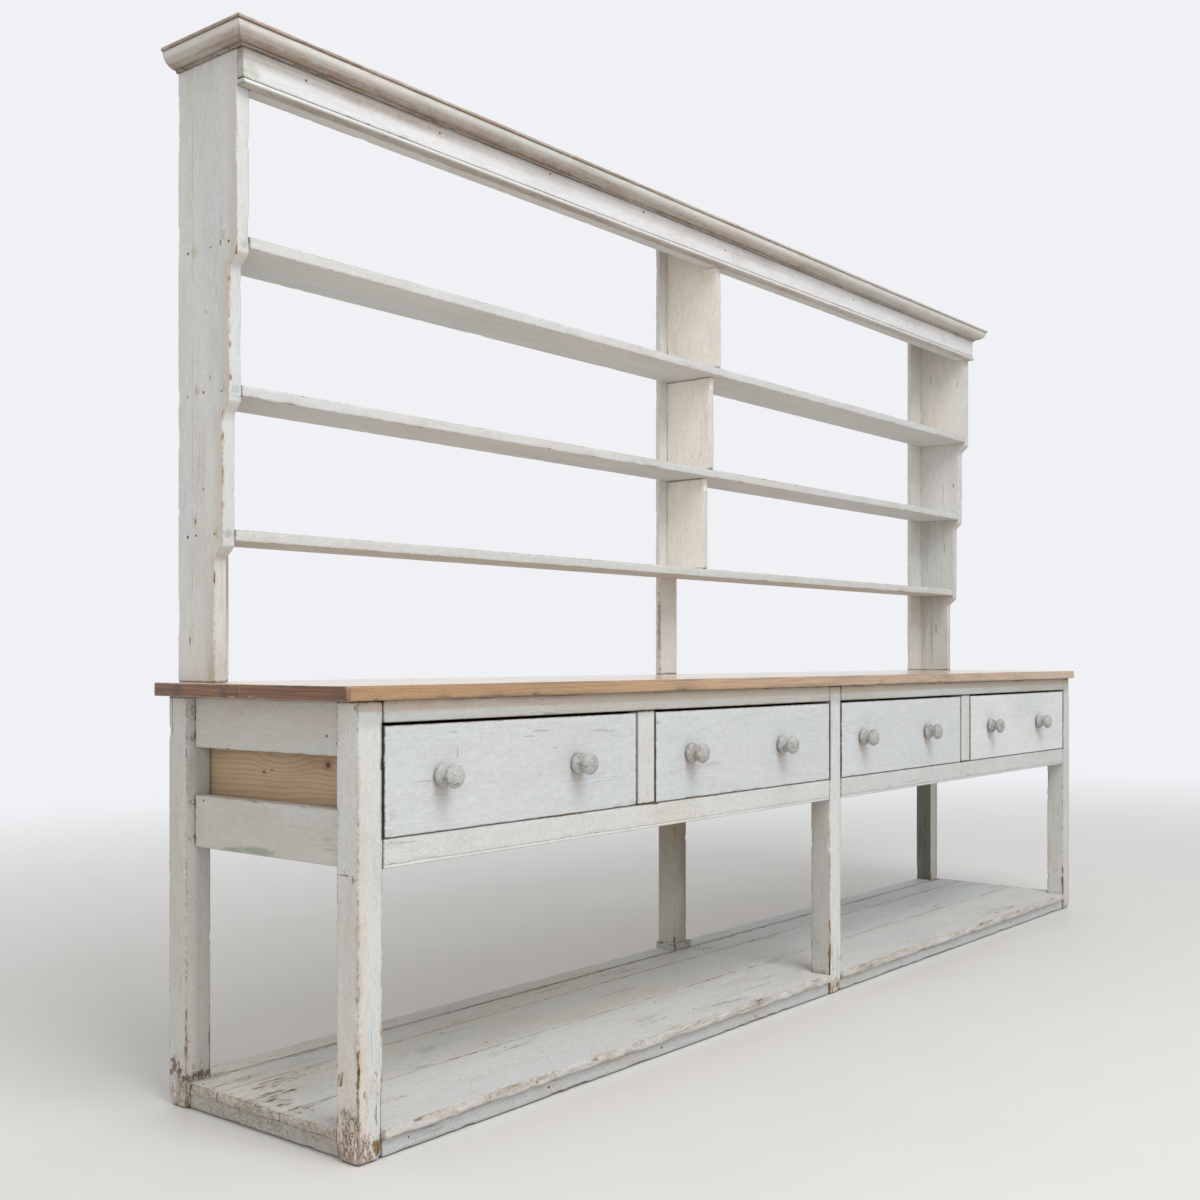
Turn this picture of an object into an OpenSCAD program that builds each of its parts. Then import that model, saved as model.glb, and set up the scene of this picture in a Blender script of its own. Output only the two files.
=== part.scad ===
// Long painted dresser: a six-legged base with four drawers and a potboard,
// and an open plate rack with three shelves, a frieze and a cornice.
// The origin is on the floor, under the middle of the whole piece.
// The front faces -Y, and every height is measured up from the floor.

/* [Base frame] */
// Length of the base over the outer faces of the legs
base_l = 3468; // [2800:4:4200]
// Depth of the base over the outer faces of the legs
base_d = 590; // [520:2:700]
// Height of the worktop's upper face above the floor
base_h = 880; // [820:2:940]
// Side of a square leg
leg_w = 60; // [54:1:72]
// Thickness of the front rails and the muntins, front to back
rail_t = 30; // [26:1:36]
// Height of the front rail above the drawers
top_rail_h = 42; // [34:1:52]
// Height of a drawer opening
drawer_open_h = 216; // [190:1:230]
// Height of the front rail below the drawers
bottom_rail_h = 56; // [48:1:70]
// Height of the bead worked along the lower edge of the bottom rail
rail_bead_h = 6; // [5:0.5:12]
// Width and depth of the quirk above that bead
rail_quirk = 1.5; // [1:0.5:2.5]
// Width of the muntin between two drawers
muntin_w = 66; // [50:1:90]
// How far each muntin stands right of the middle of its half
muntin_shift = -15; // [-40:1:40]

/* [Side and back rails] */
// Thickness of a side rail
side_rail_t = 28; // [22:1:32]
// How far a side rail is set in from the legs' outer faces
side_rail_inset = 20; // [12:1:24]
// Height of the upper side rail
side_upper_h = 106; // [80:1:120]
// Height of the lower side rail
side_lower_h = 107; // [80:1:120]
// Height of the open slot between the two side rails
side_slot_h = 99; // [70:1:120]
// Thickness of a back panel
back_t = 22; // [16:1:28]
// How far a back panel is set in from the legs' back faces
back_inset = 8; // [4:1:20]

/* [Joints] */
// Length of a tenon
tenon_l = 22; // [16:1:24]
// Thickness of a tenon
tenon_t = 12; // [8:1:14]
// Shoulder left above and below a tenon
tenon_shoulder = 6; // [4:1:12]
// Clearance round a tenon, tail, tongue or peg
joint_gap = 0.2; // [0.1:0.05:0.5]
// Diameter of a peg through a tenon
peg_d = 8; // [6:0.5:10]
// How far a peg reaches past its tenon
peg_past = 4; // [2:0.5:8]
// Length of the stub tenons on the muntins
muntin_tenon_l = 14; // [8:1:18]

/* [Drawer bearings] */
// Width of a runner or a kicker
runner_w = 28; // [20:1:40]
// Height of a runner
runner_h = 22; // [16:1:30]
// Height that a guide stands above the runners
guide_rise = 22; // [14:1:30]
// Height of a kicker
kicker_h = 22; // [14:1:30]

/* [Worktop] */
// Thickness of the worktop
top_t = 28; // [22:1:36]
// Overhang of the worktop past the legs at each end
top_end_over = 36; // [20:1:60]
// Overhang of the worktop in front of the legs
top_front_over = 10; // [6:1:40]
// Radius of the worktop's front corners
top_corner_r = 16; // [4:1:28]
// Width of the worktop's front board
top_front_board_w = 318; // [240:1:380]
// Joint left between two boards of the worktop
top_board_gap = 0.2; // [0.1:0.1:0.8]
// Depth of the tongue in each board's edge
top_tongue_d = 12; // [8:1:16]
// Thickness of that tongue
top_tongue_t = 9; // [6:1:12]

/* [Potboard] */
// Height of the potboard's upper face above the floor
pot_h = 56; // [48:1:90]
// Thickness of a potboard board
pot_t = 21; // [16:1:26]
// Overhang of the potboard in front of the legs
pot_front_over = 6; // [0:1:12]
// Width of the potboard's front board behind the legs' front faces
pot_board_1_w = 228; // [180:1:240]
// Width of the third board; the second board fills what is left
pot_board_3_w = 91; // [60:1:120]
// Width of the back board
pot_board_4_w = 72; // [66:1:100]
// Gap between two boards, and round a leg
pot_gap = 2; // [1:0.5:4]
// Thickness of a plinth rail under the potboard
plinth_t = 20; // [16:1:26]
// Gap between a plinth rail and the floor
plinth_lift = 3; // [2:0.5:8]
// How far an end plinth rail is set in from the legs' outer faces
plinth_end_inset = 10; // [4:1:20]
// How far a front or back plinth rail is set in from the legs
plinth_front_inset = 4; // [2:1:12]
// Width of a bearer under the potboard
bearer_w = 44; // [30:1:60]
// Bearers under each half of the potboard
bearer_n = 2; // [1:1:3]
// Thickness of the collar strips round the middle back leg
collar_t = 10; // [6:1:14]
// Height of the collar strips
collar_h = 20; // [12:1:30]

/* [Drawers] */
// Clearance above a drawer front
drawer_gap_top = 6; // [3:0.5:8]
// Clearance at each end of a drawer
drawer_gap_side = 2.5; // [1.5:0.5:4]
// Clearance below a drawer front
drawer_gap_bottom = 1.4; // [1:0.2:3]
// Running clearance between a drawer side and its runner
drawer_run_gap = 0.3; // [0.2:0.1:1]
// Gap between a shut drawer and the back panel that stops it
drawer_stop_gap = 0.5; // [0.4:0.1:4]
// Thickness of a drawer front
front_t = 22; // [18:1:26]
// Thickness of a drawer side
side_t = 13; // [10:1:16]
// Thickness of a drawer back
drawer_back_t = 12; // [9:1:16]
// Depth of the housings that hold the back's ends
back_housing_d = 5; // [3:0.5:7]
// Distance from those housings to the sides' back ends
back_set = 8; // [4:1:30]
// Thickness of a drawer bottom
bottom_t = 8; // [6:0.5:10]
// Height of a drawer bottom above the lower edge of its sides
bottom_rise = 11; // [8:1:16]
// Depth of the groove that holds the bottom
groove_d = 5; // [3:0.5:7]
// How far the sides and back are lower than the drawer front
side_drop = 8; // [4:1:20]
// Dovetails at the front end of a drawer side
tail_n = 4; // [2:1:5]
// Length of a dovetail
tail_l = 15; // [10:1:17]
// Width of a dovetail at its root
tail_root_w = 24; // [14:1:26]
// Extra width of a dovetail at its tip
tail_flare = 8; // [2:1:10]

/* [Knobs] */
// Diameter of the knob's head
knob_d = 48; // [36:1:56]
// Thickness of the head
knob_head_t = 26; // [18:1:28]
// Diameter of the knob's base flange
knob_base_d = 47; // [32:1:56]
// Thickness of the base flange
knob_base_t = 16; // [10:1:18]
// Length of the neck between the flange and the head
knob_neck_l = 8; // [4:1:16]
// Diameter of the neck
knob_neck_d = 19; // [14:1:24]
// Diameter of the spigot through the drawer front
spigot_d = 14; // [10:1:16]
// How far the spigot reaches past the drawer front's inner face
spigot_past = 3; // [0:0.5:6]
// Distance between the two knobs of a drawer
knob_pitch = 408; // [240:2:480]
// How far the first drawer's knobs sit right of its middle
knob_shift_1 = -32; // [-70:1:40]
// How far the second drawer's knobs sit right of its middle
knob_shift_2 = -58; // [-70:1:40]
// How far the third drawer's knobs sit right of its middle
knob_shift_3 = -62; // [-70:1:40]
// How far the fourth drawer's knobs sit right of its middle
knob_shift_4 = -44; // [-70:1:40]
// How far the knobs sit above the middle of their drawers
knob_rise = 4; // [-10:1:20]

/* [Rack] */
// How far each end of the rack is set in from the legs' outer faces
rack_inset = 22; // [4:1:80]
// Height of the rack from the worktop to the top of the cornice
rack_h = 1316; // [1240:2:1460]
// Thickness of an end board
end_t = 30; // [24:1:36]
// Depth of the rack above the top shelf
depth_1 = 201; // [190:1:240]
// Depth between the top and middle shelves
depth_2 = 175; // [166:1:188]
// Depth between the middle and low shelves
depth_3 = 153; // [142:1:164]
// Depth below the low shelf
depth_4 = 126; // [110:1:140]
// Thickness of a shelf
shelf_t = 24; // [18:1:30]
// Height of the top shelf's upper face above the worktop
shelf_1_h = 904; // [820:2:960]
// Height of the middle shelf's upper face above the worktop
shelf_2_h = 607; // [540:2:660]
// Height of the low shelf's upper face above the worktop
shelf_3_h = 314; // [250:2:380]
// Depth of the housing that holds a shelf's end
housing_d = 8; // [5:1:12]
// Distance that the housing stops behind the front edge
housing_stop = 12; // [6:1:24]
// Square nose of an end board under each shelf
step_nose = 8; // [4:1:14]
// Height of the ogee below that nose
step_h = 32; // [20:1:44]
// Thickness of a divider between two shelves
divider_t = 19; // [14:1:26]
// Width of a back stile
stile_w = 86; // [60:1:110]
// Thickness of a back stile
stile_t = 16; // [12:1:20]
// Diameter of a dowel between the rack and the worktop
dowel_d = 10; // [8:1:14]
// Length of such a dowel
dowel_l = 40; // [28:2:44]
// Distance from an end board's front and back edges to its dowels
dowel_edge = 32; // [20:1:44]

/* [Frieze and cornice] */
// Depth of the frieze and its bead below the top of the rack
frieze_drop = 116; // [90:1:150]
// Thickness of the frieze board
frieze_t = 18; // [14:1:24]
// Height of the bead below the frieze board
bead_h = 13; // [9:1:18]
// How far the bead stands out from the frieze
bead_out = 5; // [2:0.5:8]
// Thickness of the rail behind the frieze
backing_t = 36; // [24:1:44]
// Height of the rail behind the frieze
backing_h = 70; // [50:1:80]
// Height of the cornice
cornice_h = 42; // [34:1:56]
// Projection of the cornice
cornice_out = 42; // [32:1:56]
// Height of the fillet along the cornice's upper edge
fillet_h = 7; // [5:1:11]
// How far that fillet stands past the round
fillet_out = 4; // [2:0.5:8]
// Height of the cornice's lower fillet
foot_h = 5; // [3:0.5:8]
// Projection of the cornice's lower fillet
foot_out = 6; // [4:0.5:10]
// Step between that fillet and the round above it
foot_step = 1; // [0.5:0.5:3]
// Thickness of the board that closes the top of the rack
roof_t = 18; // [14:1:24]

/* [Hidden] */

// Colours of the old paint, the bare pine and the waxed worktop
paint = [0.82, 0.82, 0.78];
drawer_paint = [0.84, 0.86, 0.86];
bare_pine = [0.72, 0.56, 0.38];
waxed_pine = [0.60, 0.42, 0.26];

// Projection of the knobs, which sets how far the legs stand back from the front
knob_out = knob_base_t + knob_neck_l + knob_head_t;

// Faces of the base
x_left = -base_l / 2;
x_right = base_l / 2;
y_front = -(base_d - knob_out) / 2;
y_back = y_front + base_d;
y_back_legs = y_back - leg_w;
z_under_top = base_h - top_t;
leg_x = [x_left, -leg_w / 2, x_right - leg_w];

// Heights of the front rails and the drawer openings
z_open_top = z_under_top - top_rail_h;
z_open_bottom = z_open_top - drawer_open_h;
z_rail_bottom = z_open_bottom - bottom_rail_h;

// The two halves between the legs, and the four drawer openings
half_w = base_l / 2 - 1.5 * leg_w;
half_x = [x_left + leg_w, leg_w / 2];
open_a = (half_w - muntin_w) / 2 + muntin_shift;
open_b = (half_w - muntin_w) / 2 - muntin_shift;
open_x = [half_x[0], half_x[0] + open_a + muntin_w, half_x[1], half_x[1] + open_a + muntin_w];
open_w = [open_a, open_b, open_a, open_b];

// Back panel, side rails and the space between the front rails and the back panel
y_panel = y_back - back_inset - back_t;
y_behind_rails = y_front + rail_t;
bearing_l = y_panel - y_behind_rails;
z_side_slot = z_under_top - side_upper_h;
z_side_lower = z_side_slot - side_slot_h - side_lower_h;
side_span = base_d - 2 * leg_w;

// Potboard
z_pot_under = pot_h - pot_t;
plinth_h = z_pot_under - plinth_lift;
y_plinth_front = y_front + plinth_front_inset;
y_plinth_back = y_back - plinth_front_inset - plinth_t;
y_board_2 = y_front + pot_board_1_w;
y_board_4 = y_back - pot_board_4_w;
y_board_3 = y_board_4 - pot_board_3_w;

// Drawers
z_drawer = z_open_bottom + drawer_run_gap;
z_front = z_open_bottom + drawer_gap_bottom;
z_front_top = z_open_top - drawer_gap_top;
z_side_top = z_front_top - side_drop;
y_carcass = y_front + front_t;
y_drawer_end = y_panel - drawer_stop_gap;
carcass_l = y_drawer_end - y_carcass;
z_bottom = z_drawer + bottom_rise;
tail_zone = z_side_top - z_bottom - bottom_t;
tail_pitch = tail_zone / tail_n;
z_knob = (z_front + z_front_top) / 2 + knob_rise;
knob_shift = [knob_shift_1, knob_shift_2, knob_shift_3, knob_shift_4];

// Rack
rack_x = x_left + rack_inset;
rack_l = -2 * rack_x;
rack_inner_x = rack_x + end_t;
rack_span = rack_l - 2 * end_t;
rack_top = base_h + rack_h;
z_ends_top = rack_top - roof_t;
y_stile = y_back - stile_t;
y_bay = [y_back - depth_1, y_back - depth_2, y_back - depth_3, y_back - depth_4];
z_shelf = [base_h + shelf_1_h - shelf_t, base_h + shelf_2_h - shelf_t, base_h + shelf_3_h - shelf_t];
z_frieze = rack_top - frieze_drop;
y_frieze = y_bay[0] - frieze_t;
z_cornice = rack_top - cornice_h;
ogee_n = 12;

// How far a cutter reaches past the face that it opens
past = 1;

// A block from its lowest corner and its size, grown on every side for a cutter
module block(corner, size, grow = 0) {
    translate(corner - [grow, grow, grow]) cube(size + 2 * [grow, grow, grow]);
}

// A board whose side view, in Y and Z, is drawn by the child and runs along X
module along_x(x, length) {
    translate([x, 0, 0]) rotate([90, 0, 90]) linear_extrude(length) children();
}

// Tenon of a front rail: half 0 or 1, end 0 or 1, for a rail of height h at height z
module front_tenon(half, end, z, h, grow = 0) {
    x = end == 0 ? half_x[half] - tenon_l : half_x[half] + half_w;
    y = y_front + (rail_t - tenon_t) / 2;
    block([x, y, z + tenon_shoulder], [tenon_l, tenon_t, h - 2 * tenon_shoulder], grow);
}

// Tenon of a side rail: side 0 left or 1 right, end 0 front or 1 back
module side_tenon(side, end, z, h, grow = 0) {
    inset = side_rail_inset + (side_rail_t - tenon_t) / 2;
    x = side == 0 ? x_left + inset : x_right - inset - tenon_t;
    y = end == 0 ? y_front + leg_w - tenon_l : y_back_legs;
    block([x, y, z + tenon_shoulder], [tenon_t, tenon_l, h - 2 * tenon_shoulder], grow);
}

// Tongue at the end of a back panel
module panel_tongue(half, end, grow = 0) {
    x = end == 0 ? half_x[half] - tenon_l : half_x[half] + half_w;
    y = y_panel + (back_t - tenon_t) / 2;
    z = z_rail_bottom + tenon_shoulder;
    block([x, y, z], [tenon_l, tenon_t, z_under_top - z - tenon_shoulder], grow);
}

// Middle of a peg through a front tenon
function front_peg_x(half, end) = end == 0 ? half_x[half] - tenon_l / 2 : half_x[half] + half_w + tenon_l / 2;
front_peg_z = [z_open_top + top_rail_h / 2, z_rail_bottom + bottom_rail_h / 2];
side_peg_y = [y_front + leg_w - tenon_l / 2, y_back_legs + tenon_l / 2];
side_peg_z = [z_side_slot + side_upper_h / 2, z_side_lower + side_lower_h / 2];

// One peg from the face of a leg at height 0, upwards into it, or the cutter for its hole
module peg(length, grow) {
    lead = grow > 0 ? past : 0;
    translate([0, 0, -lead]) cylinder(d = peg_d + 2 * grow, h = length + lead + grow, $fn = 32);
}

// Pegs through the front tenons of one half and end
module front_pegs(half, end, grow = 0) {
    for (z = front_peg_z)
        translate([front_peg_x(half, end), y_front, z]) rotate([-90, 0, 0])
            peg((rail_t + tenon_t) / 2 + peg_past, grow);
}

// Pegs through the side tenons of one side and end
module side_pegs(side, end, grow = 0) {
    for (z = side_peg_z)
        translate([side == 0 ? x_left : x_right, side_peg_y[end], z])
            rotate([0, side == 0 ? 90 : -90, 0])
                peg(side_rail_inset + (side_rail_t + tenon_t) / 2 + peg_past, grow);
}

// One leg: column 0 left, 1 middle or 2 right, row 0 front or 1 back
module leg(column, row) {
    halves = column == 0 ? [[0, 0]] : column == 1 ? [[0, 1], [1, 0]] : [[1, 1]];
    side = column == 2 ? 1 : 0;
    color(paint) difference() {
        block([leg_x[column], row == 0 ? y_front : y_back_legs, 0], [leg_w, leg_w, z_under_top]);
        for (h = halves) {
            if (row == 0) {
                front_tenon(h[0], h[1], z_open_top, top_rail_h, joint_gap);
                front_tenon(h[0], h[1], z_rail_bottom, bottom_rail_h, joint_gap);
                front_pegs(h[0], h[1], joint_gap);
            } else {
                panel_tongue(h[0], h[1], joint_gap);
            }
        }
        if (column != 1) {
            side_tenon(side, row, z_side_slot, side_upper_h, joint_gap);
            side_tenon(side, row, z_side_lower, side_lower_h, joint_gap);
            side_pegs(side, row, joint_gap);
        }
    }
}

module leg_front_left() { leg(0, 0); }
module leg_front_middle() { leg(1, 0); }
module leg_front_right() { leg(2, 0); }
module leg_back_left() { leg(0, 1); }
module leg_back_middle() { leg(1, 1); }
module leg_back_right() { leg(2, 1); }

// Rails above the drawers, one in each half
module front_top_rails() {
    color(paint) for (half = [0, 1]) difference() {
        union() {
            block([half_x[half], y_front, z_open_top], [half_w, rail_t, top_rail_h]);
            for (end = [0, 1]) front_tenon(half, end, z_open_top, top_rail_h);
        }
        for (end = [0, 1]) front_pegs(half, end, joint_gap);
        muntin_tenons(half, joint_gap);
    }
}

// Section of the bottom rail, with a bead worked along its lower front edge
module bottom_rail_section() {
    r = rail_bead_h / 2;
    difference() {
        translate([y_front, z_rail_bottom]) square([rail_t, bottom_rail_h]);
        translate([y_front - past, z_rail_bottom - past]) square([r + past, rail_bead_h + rail_quirk + past]);
    }
    translate([y_front + r, z_rail_bottom + r]) circle(r = r, $fn = 32);
    translate([y_front + rail_quirk, z_rail_bottom + rail_bead_h]) square([r, rail_quirk]);
}

// Rails below the drawers, one in each half
module front_bottom_rails() {
    color(paint) for (half = [0, 1]) difference() {
        union() {
            along_x(half_x[half], half_w) bottom_rail_section();
            for (end = [0, 1]) front_tenon(half, end, z_rail_bottom, bottom_rail_h);
        }
        for (end = [0, 1]) front_pegs(half, end, joint_gap);
        muntin_tenons(half, joint_gap);
    }
}

// Stub tenons at the ends of one half's muntin
module muntin_tenons(half, grow = 0) {
    x = half_x[half] + open_a + tenon_shoulder;
    y = y_front + (rail_t - tenon_t) / 2;
    for (z = [z_open_bottom - muntin_tenon_l, z_open_top])
        block([x, y, z], [muntin_w - 2 * tenon_shoulder, tenon_t, muntin_tenon_l], grow);
}

// Upright between the two drawers of each half
module drawer_muntins() {
    color(paint) for (half = [0, 1]) {
        block([half_x[half] + open_a, y_front, z_open_bottom], [muntin_w, rail_t, drawer_open_h]);
        muntin_tenons(half);
    }
}

// A pair of side rails at height z, left and right
module side_rails(z, h) {
    for (side = [0, 1]) difference() {
        union() {
            x = side == 0 ? x_left + side_rail_inset : x_right - side_rail_inset - side_rail_t;
            block([x, y_front + leg_w, z], [side_rail_t, side_span, h]);
            for (end = [0, 1]) side_tenon(side, end, z, h);
        }
        for (end = [0, 1]) side_pegs(side, end, joint_gap);
    }
}

module side_upper_rails() { color(paint) side_rails(z_side_slot, side_upper_h); }
module side_lower_rails() { color(paint) side_rails(z_side_lower, side_lower_h); }

// Panels that close the back of the drawer space
module back_panels() {
    color(bare_pine) for (half = [0, 1]) {
        block([half_x[half], y_panel, z_rail_bottom], [half_w, back_t, z_under_top - z_rail_bottom]);
        for (end = [0, 1]) panel_tongue(half, end);
    }
}

// Strips that a drawer's sides run on, two under each drawer
module drawer_runners() {
    color(bare_pine) for (i = [0:3], x = [open_x[i], open_x[i] + open_w[i] - runner_w])
        block([x, y_behind_rails, z_open_bottom - runner_h], [runner_w, bearing_l, runner_h]);
}

// Strips that stop a drawer tipping when it is pulled out, two above each drawer
module drawer_kickers() {
    color(bare_pine) for (i = [0:3], x = [open_x[i], open_x[i] + open_w[i] - runner_w])
        block([x, y_behind_rails, z_open_top], [runner_w, bearing_l, kicker_h]);
}

// Blocks that keep the drawers straight: by the side rails, behind the muntins and by the middle legs
module drawer_guides() {
    guide_w = leg_w - side_rail_inset - side_rail_t;
    full_h = runner_h + guide_rise;
    color(bare_pine) {
        for (x = [x_left + leg_w - guide_w, x_right - leg_w])
            block([x, y_front + leg_w, z_open_bottom], [guide_w, side_span, guide_rise]);
        for (half = [0, 1])
            block([half_x[half] + open_a, y_behind_rails, z_open_bottom - runner_h],
                [muntin_w, bearing_l, full_h]);
        block([leg_x[1], y_front + leg_w, z_open_bottom - runner_h], [leg_w, side_span, full_h]);
    }
}

// Pegs that lock the tenons of the front and side rails
module joint_pegs() {
    color(bare_pine) {
        for (half = [0, 1], end = [0, 1]) front_pegs(half, end);
        for (side = [0, 1], end = [0, 1]) side_pegs(side, end);
    }
}

// Dowels that locate the rack, two under each end board
dowel_y = [y_bay[3] + dowel_edge, y_back - dowel_edge];
module dowels(grow = 0) {
    for (x = [rack_x + end_t / 2, -rack_x - end_t / 2], y = dowel_y)
        translate([x, y, base_h - dowel_l / 2 - grow])
            cylinder(d = dowel_d + 2 * grow, h = dowel_l + 2 * grow, $fn = 32);
}

// Outline of the whole worktop, with rounded front corners
module worktop_outline() {
    w = base_l + 2 * top_end_over;
    d = base_d + top_front_over;
    y = y_front - top_front_over;
    difference() {
        translate([-w / 2, y]) square([w, d]);
        for (m = [0, 1]) mirror([m, 0]) translate([w / 2 - top_corner_r, y + top_corner_r]) difference() {
            translate([0, -top_corner_r - past]) square(top_corner_r + past);
            circle(r = top_corner_r, $fn = 48);
        }
    }
}

// Loose tongue that joins the two boards of the worktop
module top_tongue(grow = 0) {
    y = y_top_joint - top_board_gap / 2 - top_tongue_d;
    inset = top_end_over + leg_w;
    block([x_left + inset, y, z_under_top + (top_t - top_tongue_t) / 2],
        [base_l - 2 * inset, 2 * top_tongue_d, top_tongue_t], grow);
}

// One board of the worktop, cut from its outline between two depths
module worktop_board(y, d) {
    w = base_l + 2 * top_end_over;
    color(waxed_pine) difference() {
        translate([0, 0, z_under_top]) linear_extrude(top_t) intersection() {
            worktop_outline();
            translate([-w / 2, y]) square([w, d]);
        }
        dowels(joint_gap);
        top_tongue(joint_gap);
    }
}

y_top_joint = y_front - top_front_over + top_front_board_w;
module worktop_front_board() {
    worktop_board(y_front - top_front_over, top_front_board_w - top_board_gap);
}
module worktop_back_board() { worktop_board(y_top_joint, y_back - y_top_joint); }
module worktop_tongue() { color(waxed_pine) top_tongue(); }

// Rails of the plinth under the potboard's front edge
module plinth_front_rails() {
    color(paint) for (half = [0, 1])
        block([half_x[half], y_plinth_front, plinth_lift], [half_w, plinth_t, plinth_h]);
}
module plinth_back_rails() {
    color(paint) for (half = [0, 1])
        block([half_x[half], y_plinth_back, plinth_lift], [half_w, plinth_t, plinth_h]);
}
module plinth_end_rails() {
    color(paint) for (x = [x_left + plinth_end_inset, x_right - plinth_end_inset - plinth_t])
        block([x, y_front + leg_w, plinth_lift], [plinth_t, side_span, plinth_h]);
}

// Cross bearers that hold the potboard between the front and back plinth rails
module potboard_bearers() {
    y = y_plinth_front + plinth_t;
    color(bare_pine) for (half = [0, 1], i = [1:bearer_n])
        block([half_x[half] + half_w * i / (bearer_n + 1) - bearer_w / 2, y, plinth_lift],
            [bearer_w, y_plinth_back - y, plinth_h]);
}

// One long board of the potboard, notched round the legs
module potboard_board(y, w) {
    reach = pot_front_over + past;
    color(paint) difference() {
        block([x_left, y, z_pot_under], [base_l, w, pot_t]);
        for (x = leg_x) {
            block([x - pot_gap / 2, y_front - reach, z_pot_under - past],
                [leg_w + pot_gap, leg_w + reach + pot_gap / 2, pot_t + 2 * past]);
            block([x - pot_gap / 2, y_back_legs - pot_gap / 2, z_pot_under - past],
                [leg_w + pot_gap, leg_w + past + pot_gap / 2, pot_t + 2 * past]);
        }
    }
}

module potboard_board_1() { potboard_board(y_front - pot_front_over, pot_board_1_w + pot_front_over - pot_gap); }
module potboard_board_2() { potboard_board(y_board_2, y_board_3 - y_board_2 - pot_gap); }
module potboard_board_3() { potboard_board(y_board_3, pot_board_3_w - pot_gap); }
module potboard_board_4() { potboard_board(y_board_4, pot_board_4_w); }

// Mitred strips that stand on the potboard round the middle back leg
module leg_collar() {
    x = -leg_w / 2 - joint_gap - collar_t;
    y = y_back_legs - joint_gap - collar_t;
    d = y_back - y;
    color(paint) translate([0, 0, pot_h]) linear_extrude(collar_h) {
        polygon([[x, y], [-x, y], [-x - collar_t, y + collar_t], [x + collar_t, y + collar_t]]);
        for (s = [-1, 1])
            polygon([[s * x, y + joint_gap], [s * x, y + d],
                [s * (x + collar_t), y + d], [s * (x + collar_t), y + collar_t + joint_gap]]);
    }
}

// Side view of the dovetails at a drawer side's front end
module tails(grow = 0) {
    for (i = [0:tail_n - 1]) {
        z = z_bottom + bottom_t + (i + 0.5) * tail_pitch;
        root = tail_root_w / 2 + grow;
        tip = (tail_root_w + tail_flare) / 2 + grow;
        polygon([
            [y_carcass + past * grow, z - root], [y_carcass - tail_l - grow, z - tip],
            [y_carcass - tail_l - grow, z + tip], [y_carcass + past * grow, z + root]]);
    }
}

// Slot in the drawer's front and sides for the edges of its bottom
module bottom_slab(x, w, grow = 0) {
    inset = side_t - groove_d;
    block([x + inset, y_carcass - groove_d, z_bottom], [w - 2 * inset, carcass_l + groove_d, bottom_t], grow);
}

// Back of a drawer, which stands on the bottom between housings in the sides
module drawer_back(x, w, grow = 0) {
    inset = side_t - back_housing_d;
    z = z_bottom + bottom_t;
    block([x + inset, y_drawer_end - back_set - drawer_back_t, z],
        [w - 2 * inset, drawer_back_t, z_side_top - z], grow);
}

// The hole of a knob's spigot, along Y through a drawer front
module spigot_hole(x) {
    translate([x, y_front - past, z_knob]) rotate([-90, 0, 0])
        cylinder(d = spigot_d + 2 * joint_gap, h = front_t + 2 * past, $fn = 48);
}

function drawer_x(i) = open_x[i] + drawer_gap_side;
function drawer_w(i) = open_w[i] - 2 * drawer_gap_side;
function knob_x(i) = [for (s = [-1, 1]) drawer_x(i) + drawer_w(i) / 2 + knob_shift[i] + s * knob_pitch / 2];

module drawer_front(i) {
    x = drawer_x(i);
    w = drawer_w(i);
    color(drawer_paint) difference() {
        block([x, y_front, z_front], [w, front_t, z_front_top - z_front]);
        along_x(x - past, side_t + past + joint_gap) tails(joint_gap);
        along_x(x + w - side_t - joint_gap, side_t + past + joint_gap) tails(joint_gap);
        bottom_slab(x, w, joint_gap);
        for (k = knob_x(i)) spigot_hole(k);
    }
}

// The two sides, with their dovetails, and the back between them
module drawer_carcass(i) {
    x = drawer_x(i);
    w = drawer_w(i);
    color(bare_pine) {
        for (side_x = [x, x + w - side_t]) difference() {
            along_x(side_x, side_t) {
                translate([y_carcass, z_drawer]) square([carcass_l, z_side_top - z_drawer]);
                tails();
            }
            bottom_slab(x, w, joint_gap);
            drawer_back(x, w, joint_gap);
        }
        drawer_back(x, w);
    }
}

module drawer_bottom(i) {
    color(bare_pine) bottom_slab(drawer_x(i), drawer_w(i));
}

// Outline of a turned knob from its axis, with its flange on the drawer at height 0
knob_neck_z = knob_out - knob_head_t;
function knob_outline() = concat(
    [[0, -front_t - spigot_past], [spigot_d / 2, -front_t - spigot_past], [spigot_d / 2, 0]],
    [for (a = [-90:15:75])
        [(knob_base_d - knob_base_t) / 2 + knob_base_t / 2 * cos(a), knob_base_t / 2 * (1 + sin(a))]],
    [[knob_neck_d / 2, (knob_base_t + knob_neck_z) / 2]],
    [for (a = [-60:10:80]) [knob_d / 2 * cos(a), knob_neck_z + knob_head_t / 2 * (1 + sin(a))]],
    [[0, knob_out]]);

module knobs(i) {
    color(drawer_paint) for (k = knob_x(i))
        translate([k, y_front, z_knob]) rotate([90, 0, 0])
            rotate_extrude($fn = 48) polygon(knob_outline());
}

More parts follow.
